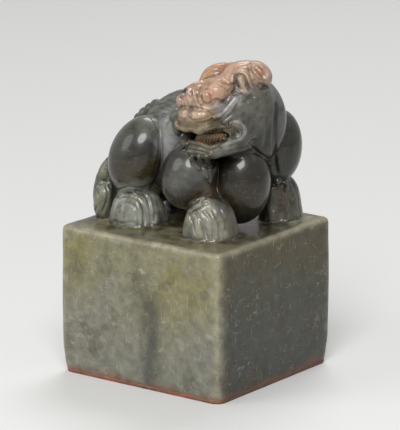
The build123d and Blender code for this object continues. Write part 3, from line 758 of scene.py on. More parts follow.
# Pieces: each node's share of the carving as a closed surface of its own

NEIGHBOURS = [(0, 0, 0), (1, 0, 0), (0, 1, 0), (1, 1, 0), (0, 0, 1), (1, 0, 1), (0, 1, 1), (1, 1, 1)]
CELL_EDGES = [(a, b) for a in range(8) for b in range(a + 1, 8)
              if sum(abs(p - q) for p, q in zip(NEIGHBOURS[a], NEIGHBOURS[b])) == 1]


def surface(values, low, step):
    """Points and four-sided faces of the zero level inside a block of samples."""
    solid = values < 0
    count = np.zeros(np.array(values.shape) - 1, np.uint8)
    for i, j, k in NEIGHBOURS:
        count += solid[i:i + count.shape[0], j:j + count.shape[1], k:k + count.shape[2]]
    mixed = (count > 0) & (count < 8)
    cells = np.argwhere(mixed)
    number = np.full(count.shape, -1, np.int32)
    number[mixed] = np.arange(len(cells))
    corner = [values[cells[:, 0] + i, cells[:, 1] + j, cells[:, 2] + k] for i, j, k in NEIGHBOURS]
    total = np.zeros((len(cells), 3))
    hits = np.zeros(len(cells))
    for a, b in CELL_EDGES:
        crosses = (corner[a] < 0) != (corner[b] < 0)
        share = np.where(crosses, corner[a] / np.where(crosses, corner[a] - corner[b], 1), 0)
        start, end = np.array(NEIGHBOURS[a], float), np.array(NEIGHBOURS[b], float)
        total += crosses[:, None] * (start + share[:, None] * (end - start))
        hits += crosses
    points = np.array(low) + step * (cells + total / hits[:, None])
    faces = []
    for axis, one, two in ((0, 1, 2), (1, 2, 0), (2, 0, 1)):
        layers = np.moveaxis(solid, axis, 0)
        places = np.argwhere(np.moveaxis(layers[1:] != layers[:-1], 0, axis))
        keep = (places[:, one] > 0) & (places[:, two] > 0)
        keep &= (places[:, one] < solid.shape[one] - 1) & (places[:, two] < solid.shape[two] - 1)
        places = places[keep]
        step_one, step_two = np.eye(3, dtype=int)[[one, two]]
        offsets = (step_one + step_two, step_two, (0, 0, 0), step_one)
        ring = np.column_stack([number[tuple((places - offset).T)] for offset in offsets])
        outward = solid[tuple(places.T)]
        ring[~outward] = ring[~outward][:, ::-1]
        faces.append(ring)
    return points, np.vstack(faces)


def relax(points, faces, rounds, share):
    """Even out the points a little, each towards the middle of its neighbours."""
    start, end = faces.T.ravel(), np.roll(faces, -1, axis=1).T.ravel()
    count = np.bincount(start, minlength=len(points)) + np.bincount(end, minlength=len(points))
    for amount in [share, -share * 1.04] * rounds:
        middle = np.zeros_like(points)
        for axis in range(3):
            middle[:, axis] = np.bincount(start, points[end, axis], len(points))
            middle[:, axis] += np.bincount(end, points[start, axis], len(points))
        middle /= np.maximum(count, 1)[:, None]
        points = points + (middle - points) * amount
    return points


def parted(whole, past_border):
    """The whole's field kept on one side of a border, sinking under the neighbour before it ends."""
    dip = 0.5 * np.maximum(past_border, 0) ** 2
    return np.maximum(whole + dip, past_border - PIECE_OVERLAP)


def split(lion):
    """Each node's field: the whole carving, kept where that node's own masses are nearest."""
    grid = lion.whole
    nearest = np.full(grid.shape, FAR, np.float32)
    second = np.full(grid.shape, FAR, np.float32)
    owns = {}
    for node, rows in lion.own.items():
        low = [min(cut[i].start for cut, _ in rows) for i in range(3)]
        high = [max(cut[i].stop for cut, _ in rows) for i in range(3)]
        own = np.full([h - l for l, h in zip(low, high)], FAR, np.float32)
        for cut, distance in rows:
            place = tuple(slice(c.start - l, c.stop - l) for c, l in zip(cut, low))
            own[place] = np.minimum(own[place], distance)
        cut = tuple(slice(l, h) for l, h in zip(low, high))
        owns[node] = cut, own
        second[cut] = np.minimum(second[cut], np.maximum(nearest[cut], own))
        nearest[cut] = np.minimum(nearest[cut], own)
    fields = {}
    del owns["seal_block"]
    for node, (cut, own) in owns.items():
        other = np.where(own <= nearest[cut], second[cut], nearest[cut])
        field = parted(grid.values[cut], (own - other) / 2)
        t = grid.axes[2][cut[2]][None, None, :]
        field = np.maximum(field, LION_FOOT - t)
        field = np.pad(field, 1, constant_values=1.0)
        low = [grid.axes[i][cut[i].start] - grid.step for i in range(3)]
        fields[node] = field, low
    return fields


# The block, its engraved face and the dried paste round its foot

# Sizes in mm: radii of the upright corners, of the top's edge and of the block's sharp lower edge; how
# far the block runs on into the engraved layer, its sides bulge, and its sides and top are worn back;
# how much wear and unevenness vary them; and how the sides curve in at the foot
BLOCK_HALF = (BLOCK_HIGH - BLOCK_LOW) / 2
CORNER, FOOT_CORNER = 2.2, 3.4
EDGE, LOWER_EDGE, FACE_EDGE = 1.5, 0.04, 0.3
SEAM = 0.4
BLOCK_FOOT = BLOCK_LOW[2] - TOP - SEAM
BULGE, SIDE_WEAR, TOP_WEAR = 0.25, 0.06, 0.31
WEAR, UNEVENNESS = 0.3, 0.04
FOOT_INSET, FOOT_CURVE, FOOT_HEIGHT = 0.31, 0.5, 3.2

# The engraving: width of its border and grooves, and the number of spirals in a row and of legs in each
BORDER, GROOVE = 3.0, 1.15
SPIRALS, SPIRAL_LEGS = 3, 7


def rumple(x, y, z, size, seed):
    """Slow, even unevenness, mostly between -1 and 1, from a few crossing waves."""
    turn = np.random.default_rng(seed)
    total = 0
    for _ in range(6):
        wave = unit(turn.normal(size=3)) * 2 * pi / (size * turn.uniform(0.7, 1.6))
        total = total + np.sin(x * wave[0] + y * wave[1] + z * wave[2] + turn.uniform(0, 2 * pi))
    return total / 4


def foot_curve(height):
    """How far the sides curve in by this height above the table, in mm."""
    return FOOT_CURVE * np.maximum(0, 1 - np.maximum(height, 0) / FOOT_HEIGHT) ** 2


def rounded(a, b, edge):
    """What lies inside both of two fields, its edge between them rounded."""
    a, b = a + edge, b + edge
    return np.sqrt(np.maximum(a, 0) ** 2 + np.maximum(b, 0) ** 2) + np.minimum(np.maximum(a, b), 0) - edge


def block_distance(x, y, t):
    """The block: corners and edges rounded by wear, sides and top not quite flat."""
    wear = WEAR * rumple(x, y, t, 17, 11)
    corner = CORNER + wear + (FOOT_CORNER - CORNER - wear) * smooth_step(-31, -38, t)
    side = rounded(np.abs(x) - BLOCK_HALF[0], np.abs(y) - BLOCK_HALF[1], corner)
    middle = BLOCK_FOOT / 2
    upper = t > middle
    uneven = UNEVENNESS * rumple(x, y, t, 23, 5) + UNEVENNESS * rumple(x, y, t, 6, 7)
    side = side + SIDE_WEAR + BULGE * ((t - middle) / middle) ** 2 + foot_curve(t + TOP) + uneven
    level = np.abs(t - middle) + middle + np.where(upper, TOP_WEAR + uneven, 0)
    return rounded(side, level, np.where(upper, EDGE + wear, LOWER_EDGE))


def block_field(lion):
    """Samples of the block, blended into the lion where its feet rise from the stone."""
    spare = 2 * BLOCK_STEP
    low = np.array([*BLOCK_LOW[:2], BLOCK_FOOT]) - spare
    grid = Grid(low, (*(BLOCK_HIGH[:2] + spare), JOINED_HEIGHT), BLOCK_STEP)
    solid = block_distance(*grid.points((slice(None),) * 3)).astype(np.float32)
    near = grid.window(JOINED_LOW, JOINED_HIGH)
    x, y, t = np.broadcast_arrays(*grid.points(near))
    places = np.column_stack([x.ravel(), y.ravel(), t.ravel()])
    whole = lion.sample(places).reshape(x.shape)
    carving = lion.sample(places, lion.alone).reshape(x.shape)
    blended = parted(whole, (solid[near] - carving) / 2)
    share = smooth_step(-0.95, -0.5, t)
    solid[near] = solid[near] * (1 - share) + blended * share
    return grid, solid


def face_field():
    """Samples of the engraved layer: a border and square spirals left standing."""
    grid = Grid(FACE_LOW - 3 * FACE_STEP, FACE_HIGH + 3 * FACE_STEP, FACE_STEP)
    x, y, z = grid.points((slice(None),) * 3)
    half = (FACE_HIGH - FACE_LOW) / 2
    outline = rounded(np.abs(x) - half[0], np.abs(y) - half[1], FOOT_CORNER) + FOOT_INSET + foot_curve(z)
    cell = (2 * half[:2] - 2 * BORDER) / SPIRALS
    pitch = cell / (SPIRAL_LEGS + 1)
    line = [-pitch * SPIRAL_LEGS / 2]
    for leg in range(SPIRAL_LEGS):
        heading = np.array(((1, 0), (0, 1), (-1, 0), (0, -1))[leg % 4])
        line.append(line[-1] + heading * (SPIRAL_LEGS - max(leg - 1, 0)) * pitch)
    edge_x, edge_y = SPIRALS / 2 * cell
    inner_x = (x + edge_x) % cell[0] - cell[0] / 2
    inner_y = (y + edge_y) % cell[1] - cell[1] / 2
    groove = FAR
    for start, end in zip(line, line[1:]):
        low, high = np.minimum(start, end), np.maximum(start, end)
        gap_x = np.maximum(np.maximum(low[0] - inner_x, inner_x - high[0]), 0)
        gap_y = np.maximum(np.maximum(low[1] - inner_y, inner_y - high[1]), 0)
        groove = np.minimum(groove, np.maximum(gap_x, gap_y))
    groove = groove - GROOVE / 2 - 0.05 * rumple(x, y, z, 3, 21)
    groove = np.where((np.abs(x) < edge_x) & (np.abs(y) < edge_y), groove, FAR)
    flat = np.maximum(outline, -groove)
    values = rounded(flat, np.abs(z - half[2]) - half[2], FACE_EDGE)
    values = np.where(z > half[2], np.maximum(flat, z - FACE_HIGH[2]), values)
    return grid, values.astype(np.float32)


# The paste's cross-section: shares of the rim's height, and of its thickness or, below zero, mm behind it
PASTE_SECTION = ((0.03, -0.15), (0.03, 0.25), (0.35, 1.0), (0.75, 0.75), (1.0, 0.10), (0.98, -0.15))
PASTE_COLUMNS = 1100


def paste_strip():
    """The dried paste: a thin uneven skin with a ragged upper rim, closed on itself."""
    straight = (FACE_HIGH[:2] - FACE_LOW[:2]) / 2 - FOOT_CORNER
    outline = []
    for quarter, sign in enumerate(((1, 1), (-1, 1), (-1, -1), (1, -1))):
        for turn in np.linspace(0, pi / 2, 12) + quarter * pi / 2:
            outline.append(sign * straight + FOOT_CORNER * np.array([cos(turn), sin(turn)]))
    outline = np.array(outline + outline[:1])
    length = np.r_[0, np.cumsum(np.linalg.norm(np.diff(outline, axis=0), axis=1))]
    place = np.linspace(0, length[-1], PASTE_COLUMNS, endpoint=False)
    x = np.interp(place, length, outline[:, 0])
    y = np.interp(place, length, outline[:, 1])
    ahead = np.column_stack([np.roll(x, -1) - np.roll(x, 1), np.roll(y, -1) - np.roll(y, 1)])
    outward = np.column_stack([ahead[:, 1], -ahead[:, 0]]) / np.linalg.norm(ahead, axis=1)[:, None]
    slow, quick, fine = (rumple(x, y, 0, size, seed) for size, seed in ((19, 31), (2.2, 33), (0.8, 35)))
    rim = np.clip(0.46 + 0.36 * slow + 0.26 * quick + 0.10 * fine, 0.08, 0.98)
    rows = []
    for height, proud in PASTE_SECTION:
        thick = np.clip(0.075 + 0.03 * quick + 0.015 * fine, 0.02, 0.115) * max(proud, 0) + min(proud, 0)
        thick = thick - FOOT_INSET - foot_curve(height * rim)
        rows.append(np.column_stack([x + outward[:, 0] * thick, y + outward[:, 1] * thick, height * rim]))
    points = np.vstack(rows)
    ring = np.arange(PASTE_COLUMNS)
    faces = []
    for row in range(len(rows)):
        here, there = row * PASTE_COLUMNS + ring, (row + 1) % len(rows) * PASTE_COLUMNS + ring
        faces.append(np.column_stack([here, np.roll(here, -1), np.roll(there, -1), there]))
    points[:, 2] -= TOP
    return points, np.vstack(faces)[:, ::-1]


# Colour of the stone where it doesn't depend on the fine grain

def linear(red, green, blue):
    """A colour as a screen shows it, 0 to 255, in linear light."""
    shares = np.array([red, green, blue]) / 255
    return np.where(shares <= 0.04045, shares / 12.92, ((shares + 0.055) / 1.055) ** 2.4)


# Patches of colour on the lion: colour, strength, reach in mm, and photo pixels they sit at
PATCHES = {
    "grey back": ((92, 92, 84), 0.7, 7.0, [(150, 104), (165, 97), (176, 100), (160, 112)]),
    "pale flank": ((132, 132, 132), 0.9, 3.6, [(170, 128), (168, 140), (171, 150), (167, 120)]),
    # painted sheen: a grey lift round the haunch's highlights
    "painted sheen on the haunch": ((80, 80, 70), 0.6, 4.0, [(122, 132), (114, 146), (146, 124)]),
    "haunch brown": ((62, 50, 28), 0.55, 3.6, [(142, 172), (151, 166), (130, 176)]),
    "haunch foot": ((112, 116, 106), 0.8, 2.4, [(114, 186), (124, 188), (136, 186), (146, 184)]),
    "chest brown": ((56, 45, 24), 0.7, 3.6, [(244, 190), (234, 194), (256, 194), (246, 204)]),
    # painted sheen: a grey lift round the right shoulder's highlights
    "painted sheen on the shoulder": ((96, 96, 90), 0.6, 3.0, [(184, 170), (199, 172), (176, 180)]),
    "shoulder brown": ((74, 58, 32), 0.6, 2.6, [(206, 190), (214, 186), (200, 198)]),
    "brown by the left shoulder": ((70, 52, 28), 0.4, 1.8, [(278, 146), (280, 156), (277, 138)]),
    "speckled cheek": ((92, 90, 82), 0.7, 5.0, [(246, 96), (256, 110), (264, 98), (250, 122), (240, 112)]),
    "near hindpaw": ((134, 136, 126), 0.95, 3.4, [(126, 192), (122, 208), (136, 204), (146, 198),
        (134, 218), (148, 212)]),
    "tail": ((118, 120, 104), 0.95, 3.4, [(98, 168), (100, 190), (104, 204), (94, 202)]),
    "near forepaw": ((138, 136, 120), 0.95, 3.2, [(206, 208), (198, 222), (212, 224), (218, 232),
        (204, 236)]),
    "far forepaw": ((62, 60, 50), 0.9, 2.8, [(276, 196), (288, 198), (284, 212), (296, 202)]),
    "split of the far forepaw": ((50, 27, 16), 0.95, 0.7, [(281, 190), (281, 195), (280.6, 200),
        (280.6, 205), (280.6, 210)]),
    "lower jaw": ((106, 104, 90), 0.9, 2.6, [(190, 147), (204, 151), (216, 152), (228, 146)]),
    "lip of the jaw": ((140, 132, 110), 0.7, 1.6, [(186, 143), (200, 144.5), (226, 143)]),
    "far flap": ((92, 94, 84), 0.9, 2.2, [(172, 120), (171, 128), (176, 134)]),
    # grey of the cheek fold, made paler as a painted highlight
    "grey cheek fold with painted highlight": ((166, 162, 158), 0.9, 1.9, [(218, 108), (226, 108), (222, 114), (214, 113),
        (231, 102), (236, 98)]),
    "curl at the mouth": ((132, 134, 128), 0.9, 1.3, [(238, 122.5), (243, 127), (244, 132), (240, 138),
        (233, 142), (226, 145)]),
    "far ear": ((172, 132, 100), 1.0, 3.0, [(212, 70), (224, 72), (206, 76), (216, 67)]),
    "crown": ((176, 144, 120), 1.0, 4.0, [(240, 64), (252, 64), (236, 70), (230, 76), (222, 80),
        (212, 80)]),
    "near ear": ((168, 140, 118), 1.0, 3.0, [(260, 68), (268, 76), (256, 74)]),
    "brow": ((178, 142, 116), 1.0, 2.8, [(216, 84), (224, 84), (206, 84), (196, 88), (226, 90), (188, 91)]),
    "eyelid": ((184, 148, 122), 1.0, 2.4, [(218, 90), (224, 93), (212, 96)]),
    "eyeball": ((156, 102, 74), 0.9, 1.9, [(206, 97), (204, 101)]),
    "nose": ((168, 138, 116), 1.0, 2.8, [(182, 96), (188, 98), (194, 98), (180, 102), (200, 105),
        (188, 90)]),
    "whisker pads": ((176, 152, 130), 1.0, 2.6, [(184, 113), (198, 113), (206, 111)]),
    "inside the mouth": ((44, 30, 15), 1.0, 2.3, [(186, 134), (194, 136), (203, 136), (212, 137),
        (220, 135), (226, 133)]),
    "strands": ((128, 98, 58), 0.9, 1.5, [(202, 138), (208, 137), (214, 136), (219, 135), (224, 133)]),
    # dark stone, and painted shade in the crevice of the neck
    "dark stone and painted shade of the neck": ((16, 16, 15), 0.9, 3.2, [(280, 98), (281, 110), (280, 122), (277, 132)]),
    # painted shade on the left shoulder, which faces away from the light
    "painted shade on the left shoulder": ((30, 30, 26), 0.7, 5.0, [(288, 150), (291, 166), (287, 130)]),
    # painted shade on the lower chest
    "painted shade on the chest": ((26, 24, 18), 0.6, 6.0, [(244, 190), (236, 178), (256, 180), (250, 206)]),
    "yellow lip": ((140, 118, 84), 0.95, 1.9, [(181, 123), (192, 124), (204, 122), (211, 117)]),
    "under lip": ((124, 110, 84), 0.8, 1.6, [(184, 129), (198, 131), (210, 128)]),
    "corner of the mouth": ((104, 90, 62), 0.7, 1.6, [(222, 128), (228, 128), (217, 122)]),
    "ear hollow": ((150, 100, 74), 0.8, 1.5, [(225, 67), (260, 72)]),
    "under the near ear": ((146, 122, 102), 0.8, 1.6, [(266, 84), (270, 81)]),
    "grey before the ear": ((122, 112, 100), 0.6, 1.6, [(240, 88), (250, 88)]),
    "ear lock": ((178, 156, 138), 0.9, 1.3, [(239.5, 79), (241, 84), (244, 89)]),
}
BASE_COLOUR = (37, 36, 30)
# brown stain, mixed with painted shade in the lion's hollows
SHADE_AND_STAIN = (40, 28, 16)

# Dull places, the rest being polished: dullness, reach in mm and photo pixels
DULL = {
    "speckled cheek": (0.8, 6.0, [(246, 98), (256, 110), (264, 96), (250, 120), (240, 108)]),
    "back": (0.5, 6.0, [(160, 104), (150, 110), (172, 98)]),
    "crown and brow": (0.2, 3.0, [(206, 84), (226, 72), (250, 66), (212, 72)]),
}


def spread(lion, points, pixels, reach):
    """How near each point is to the places behind some photo pixels, from 0 to 1."""
    ragged = 1 + 0.22 * rumple(*points.T, 3.2, 17)
    weight = np.zeros(len(points))
    for place in lion.on_photo(pixels):
        gap = np.linalg.norm(points - place, axis=1) / reach * ragged
        weight = np.maximum(weight, np.exp(-gap**4))
    return weight


def layered(points, ground, layers):
    """A ground colour under layers, each a shade and its amount at every point."""
    colour = np.tile(linear(*ground), (len(points), 1))
    for shade, amount in layers:
        amount = np.clip(amount, 0, 1)[:, None]
        colour = colour * (1 - amount) + linear(*shade) * amount
    return colour


def colour_lion(lion, points, normals):
    """Colour and dullness: patches over a dark ground, among them painted shade and painted sheen, painted
    shade and brown stain in the hollows, wear on the ridges.
    """
    x, y, t = points.T

    def cloud(size, seed):
        return rumple(x, y, t, size, seed)

    feet = smooth_step(9.5, 4.0, t + 0.8 * cloud(5, 8)) * (np.hypot(x - 13, y - 1) > 8.5)
    layers = [
        ((84, 84, 74), 0.35 * smooth_step(24, 33, t + 1.5 * cloud(9, 3))),
        ((74, 76, 68), 0.3 * smooth_step(2, 12, y + 1.5 * cloud(9, 4))),
        ((56, 46, 30), 0.45 * smooth_step(0.2, 1.0, cloud(12, 9))),
        ((108, 108, 94), 0.6 * feet),
        ((158, 124, 98), 0.95 * smooth_step(37.4, 39.0, t + 0.5 * cloud(3, 27))),
    ]
    for shade, strength, reach, pixels in PATCHES.values():
        layers.append((shade, strength * spread(lion, points, pixels, reach)))
    _, reach, pixels = DULL["speckled cheek"]
    speckled = spread(lion, points, pixels, reach) * smooth_step(0.0, 0.7, cloud(1.3, 71))
    olive = smooth_step(0.1, 0.8, cloud(4.5, 23) + 0.4 * cloud(1.8, 25))
    layers += [((52, 50, 44), 0.6 * speckled), ((84, 74, 46), 0.45 * olive * smooth_step(12, 7, t))]
    colour = layered(points, BASE_COLOUR, layers)
    hollow = hollowness(lion, points, normals)
    # painted shade and brown stain: the hollows are darkened to a third and stained brown
    amount = (0.75 * smooth_step(0.03, 0.40, hollow))[:, None]
    colour = colour * (1 - amount) + (colour * 0.3 + linear(*SHADE_AND_STAIN) * 0.3) * amount
    worn = (0.6 * smooth_step(0.05, 0.35, -hollow))[:, None]
    colour = colour * (1 - worn) + (colour * 0.8 + 0.35 * colour.mean(1, keepdims=True) + 0.015) * worn
    dull = 0.4 * smooth_step(0.1, 0.6, hollow)
    for strength, reach, pixels in DULL.values():
        dull = np.maximum(dull, strength * spread(lion, points, pixels, reach))
    return colour, dull


def hollowness(lion, points, normals):
    """How far each point lies in a hollow (above zero) or on a ridge (below zero)."""
    near = lion.sample(points + normals * 0.5) / 0.5
    wide = lion.sample(points + normals * 1.4) / 1.4
    return (1 - np.clip(near, 0, 1.6)) * 0.5 + (1 - np.clip(wide, 0, 1.6)) * 0.5


# Materials

class Nodes:
    """A small helper that adds shader nodes to a material or the world, and links them."""

    def __init__(self, owner):
        owner.use_nodes = True
        self.tree = owner.node_tree
        self.tree.nodes.clear()

    def set(self, socket, value):
        """Link a socket to another node's output, or give it a value."""
        if isinstance(value, bpy.types.NodeSocket):
            self.tree.links.new(value, socket)
        else:
            socket.default_value = value

    def add(self, kind, inputs=None, **settings):
        node = self.tree.nodes.new(kind)
        for name, value in settings.items():
            setattr(node, name, value)
        for name, value in (inputs or {}).items():
            self.set(node.inputs[name], value)
        return node

    def attribute(self, name, output):
        return self.add("ShaderNodeAttribute", attribute_name=name).outputs[output]

    def noise(self, place, scale, detail=3.0, roughness=0.5, stretch=None, bend=0.0):
        if stretch:
            stretched = self.add("ShaderNodeVectorMath", {0: place, 1: stretch}, operation="MULTIPLY")
            place = stretched.outputs[0]
        inputs = {"Vector": place, "Scale": scale, "Detail": detail, "Roughness": roughness}
        return self.add("ShaderNodeTexNoise", inputs | {"Distortion": bend}).outputs["Fac"]

    def band(self, value, low, high, to_low=0.0, to_high=1.0):
        inputs = {"Value": value, "From Min": low, "From Max": high, "To Min": to_low, "To Max": to_high}
        return self.add("ShaderNodeMapRange", inputs).outputs["Result"]

    def mix(self, share, a, b, blend="MIX"):
        node = self.add("ShaderNodeMix", data_type="RGBA", blend_type=blend)
        for index, value in ((0, share), (6, a), (7, b)):
            self.set(node.inputs[index], value)
        return node.outputs[2]

    def math(self, operation, a, b=0.0):
        return self.add("ShaderNodeMath", {0: a, 1: b}, operation=operation).outputs[0]

    def shade(self, inputs, relief=None, strength=0.0, distance=0.0):
        """The surface shader with these inputs, and a bump where there is a relief."""
        if relief is not None:
            bump = {"Strength": strength, "Distance": distance, "Height": relief}
            inputs["Normal"] = self.add("ShaderNodeBump", bump).outputs["Normal"]
        shader = self.add("ShaderNodeBsdfPrincipled", inputs)
        self.add("ShaderNodeOutputMaterial", {"Surface": shader.outputs["BSDF"]})


# The stone's finish: its roughness where polished and where dull, and how strong its scratches, veins,
# relief and coat are. GRAIN is how strong its mottling is, and the colours are in linear light.
FINISHES = {
    "lion_stone": dict(polish=0.34, dullest=0.55, scratches=0.12, veins=0.1, bump=0.3, coat=0.6),
    "block_stone": dict(polish=0.3, dullest=0.46, scratches=0.32, veins=0.3, bump=0.5, coat=0.2),
    "face_stone": dict(polish=0.4, dullest=0.5, scratches=0.1, veins=0.1, bump=0.8, coat=0.0),
}
GRAIN = 0.3
BLACK, PALER = (0.0, 0.0, 0.0, 1), (1.5, 1.5, 1.5, 1)
PIT, FLECK = (0.012, 0.010, 0.007, 1), (0.50, 0.48, 0.38, 1)
SCRATCH, VEIN = (0.46, 0.46, 0.41, 1), (0.50, 0.50, 0.45, 1)
STONE_RELIEF, PASTE_RELIEF = 0.00008, 0.00012
PASTE_DARK, PASTE_DUST = (0.09, 0.035, 0.02, 1), (0.42, 0.26, 0.17, 1)


def stone_material(name, polish, dullest, scratches, veins, bump, coat):
    """Polished stone: the vertices' own colour, mottled, speckled, scratched and finely pitted."""
    material = bpy.data.materials.new(name)
    nodes = Nodes(material)
    place = nodes.add("ShaderNodeTexCoord").outputs["Object"]
    base, dull = nodes.attribute("tint", "Color"), nodes.attribute("dull", "Fac")
    cloud = nodes.noise(place, 330, 5, 0.6)
    fine = nodes.noise(place, 2100, 3, 0.6)
    darker = nodes.mix(GRAIN, base, BLACK)
    paler = nodes.mix(GRAIN, base, nodes.mix(1.0, base, PALER, "MULTIPLY"))
    colour = nodes.mix(nodes.band(cloud, 0.35, 0.68), darker, paler)
    colour = nodes.mix(nodes.band(fine, 0.56, 0.72, 0, GRAIN), colour, PIT)
    light = nodes.noise(place, 1500, 2, 0.5)
    colour = nodes.mix(nodes.band(light, 0.60, 0.74, 0, GRAIN * 0.12), colour, FLECK)
    long = nodes.noise(place, 900, 1.5, 0.4, (3.4, 3.4, 0.32), 0.25)
    short = nodes.noise(place, 700, 1.5, 0.4, (0.5, 3.2, 2.5), 0.9)
    marks = nodes.math("MAXIMUM", nodes.band(long, 0.70, 0.75), nodes.band(short, 0.74, 0.80))
    lines = nodes.noise(place, 190, 3.5, 0.55, (0.6, 0.6, 1.5))
    thin = nodes.math("ABSOLUTE", nodes.math("SUBTRACT", lines, 0.5))
    gaps = nodes.band(nodes.noise(place, 420, 3, 0.6), 0.47, 0.62)
    torn = nodes.math("MULTIPLY", nodes.band(thin, 0.013, 0.0), gaps)
    colour = nodes.mix(nodes.math("MULTIPLY", marks, scratches), colour, SCRATCH)
    colour = nodes.mix(nodes.math("MULTIPLY", torn, veins), colour, VEIN)
    uneven = nodes.band(cloud, 0.3, 0.7, -0.04, 0.06)
    shine = nodes.math("ADD", nodes.band(dull, 0, 1, polish, dullest), uneven)
    relief = nodes.math("ADD", nodes.math("MULTIPLY", fine, 0.35), nodes.noise(place, 700, 3, 0.55))
    relief = nodes.math("SUBTRACT", relief, nodes.math("MULTIPLY", marks, 0.35))
    nodes.shade({
        "Base Color": colour, "Roughness": shine, "IOR": 1.5, "Specular IOR Level": 0.3,
        "Coat Weight": coat, "Coat Roughness": 0.06, "Coat IOR": 1.4,
    }, relief, bump, STONE_RELIEF)
    return material


def paste_material():
    """Dried vermilion paste: matt, patchy, duller and thinner on the right side."""
    material = bpy.data.materials.new("vermilion_paste")
    nodes = Nodes(material)
    place = nodes.add("ShaderNodeTexCoord").outputs["Object"]
    cloud = nodes.noise(place, 520, 5, 0.65)
    fine = nodes.noise(place, 2600, 3, 0.6)
    base = nodes.attribute("tint", "Color")
    darker = nodes.mix(0.35, base, PASTE_DARK)
    colour = nodes.mix(nodes.band(cloud, 0.35, 0.65), darker, base)
    colour = nodes.mix(nodes.band(fine, 0.5, 0.7, 0, 0.45), colour, PASTE_DUST)
    relief = nodes.math("ADD", cloud, fine)
    nodes.shade({"Base Color": colour, "Roughness": 0.72}, relief, 0.6, PASTE_RELIEF)
    return material


def add_object(name, data):
    """A new object in the scene."""
    added = bpy.data.objects.new(name, data)
    bpy.context.scene.collection.objects.link(added)
    return added


def mesh_piece(name, node, points, faces, colours, dull, material):
    """One piece: a closed mesh in metres that rides on the body and stands for its CAD node."""
    mesh = bpy.data.meshes.new(name)
    metres = (points + BLOCK_TOP) * MM
    mesh.vertices.add(len(metres))
    mesh.vertices.foreach_set("co", metres.astype(np.float32).ravel())
    mesh.loops.add(faces.size)
    mesh.loops.foreach_set("vertex_index", faces.astype(np.int32).ravel())
    mesh.polygons.add(len(faces))
    mesh.polygons.foreach_set("loop_start", np.arange(0, faces.size, 4, dtype=np.int32))
    mesh.update(calc_edges=True)
    mesh.polygons.foreach_set("use_smooth", np.ones(len(faces), bool))
    tint = mesh.color_attributes.new("tint", "FLOAT_COLOR", "POINT")
    colours = np.column_stack([colours, np.ones(len(colours))])
    tint.data.foreach_set("color", colours.astype(np.float32).ravel())
    finish = mesh.attributes.new("dull", "FLOAT", "POINT")
    finish.data.foreach_set("value", np.broadcast_to(dull, len(points)).astype(np.float32))
    mesh.validate()
    piece = add_object(name, mesh)
    mesh.materials.append(material)
    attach(piece, "root")
    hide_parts(node)


def colour_block(points):
    """The block: mottled olive grey, red at its foot, painted shade on the right and under the lion,
    painted highlight at its edges.
    """
    x, y, t = points.T
    clouds = ((24, 41), (9, 43), (3.5, 47), (1.6, 49), (1.5, 57))
    soft, middle, small, minute, tiny = (rumple(x, y, t, size, seed) for size, seed in clouds)
    right = smooth_step(BLOCK_HALF[0] - 1.2, BLOCK_HALF[0] - 0.3, x)
    band = np.exp(-((x - 2.5 - 2.0 * soft) / 2.8) ** 2) * smooth_step(-9, -18, t) * (y < 0)
    top = smooth_step(-1.2, -0.1, t)
    shade_under_lion = np.exp(-(((x - 17) / 11) ** 2 + ((y - 2) / 12) ** 2) ** 2)
    rim = smooth_step(0.4, 0.9, np.maximum(np.abs(x) / BLOCK_HALF[0], np.abs(y) / BLOCK_HALF[1]) ** 8)
    edge = np.exp(-((t + 0.7) / 0.9) ** 2) * rim
    near_x, near_y = np.abs(x) - BLOCK_HALF[0] + 0.6, np.abs(y) - BLOCK_HALF[1] + 0.6
    upright = np.exp(-((near_x**2 + near_y**2) / 3.0))
    foot = smooth_step(3.4, 0.4, t + TOP + 1.2 * small + 1.0 * middle)
    return layered(points, (123, 120, 94), [
        ((118, 118, 108), smooth_step(-12, -30, t + 5 * soft + 3 * middle) * 0.8),
        ((122, 114, 62), smooth_step(0.1, 0.9, soft + 0.5 * middle) * smooth_step(-22, -6, t) * 0.6),
        ((84, 82, 68), smooth_step(0.2, 0.9, middle + 0.5 * small - 0.4 * soft) * 0.5),
        ((160, 158, 142), smooth_step(0.5, 1.1, small + 0.5 * minute) * 0.35),
        # painted shade: the right face darker, bluish lower down and brown higher up
        ((62, 60, 48), right * 0.8),
        ((56, 60, 58), right * smooth_step(4, -30, t + 5 * soft) * 0.7),
        ((74, 64, 38), right * smooth_step(0.0, 0.9, 0.6 * middle + smooth_step(-20, -4, t)) * 0.6),
        ((66, 66, 60), band * 0.75),
        ((98, 92, 70), top * 0.8),
        # painted shade on the top under the lion's chest
        ((24, 20, 12), top * shade_under_lion * 0.95),
        ((58, 50, 32), top * smooth_step(0.0, 0.8, middle + 0.5 * small) * 0.7),
        ((44, 38, 24), top * smooth_step(0.2, 0.9, small + 0.7 * tiny) * 0.6),
        ((132, 124, 98), top * smooth_step(0.5, 1.1, 0.6 * tiny - small + 0.2) * 0.4),
        # painted highlight along the top edge and the upright corners
        ((164, 158, 134), np.maximum(edge * 0.7, upright * 0.6) * (0.75 + 0.35 * small)),
        ((128, 74, 50), foot * 0.6),
    ])


def colour_face(points):
    """The engraved layer: stained red where it prints, the stone's own colour at its sides, painted shade
    on the right one.
    """
    x, y, t = points.T
    past_x, past_y = np.abs(x) - FACE_HIGH[0], np.abs(y) - FACE_HIGH[1]
    bend = np.hypot(np.maximum(past_x + FOOT_CORNER, 0), np.maximum(past_y + FOOT_CORNER, 0))
    outside = smooth_step(-1.3, -0.5, np.maximum(np.maximum(past_x, past_y), bend - FOOT_CORNER))
    return layered(points, (150, 62, 42), [
        ((176, 120, 96), 0.25 + 0.25 * rumple(x, y, t, 5, 51)),
        ((122, 98, 78), outside * (0.8 + 0.2 * rumple(x, y, t, 3, 53))),
        # painted shade on the right side
        ((74, 64, 54), outside * smooth_step(FACE_HIGH[0] - 1.2, FACE_HIGH[0] - 0.3, x) * 0.8),
    ])


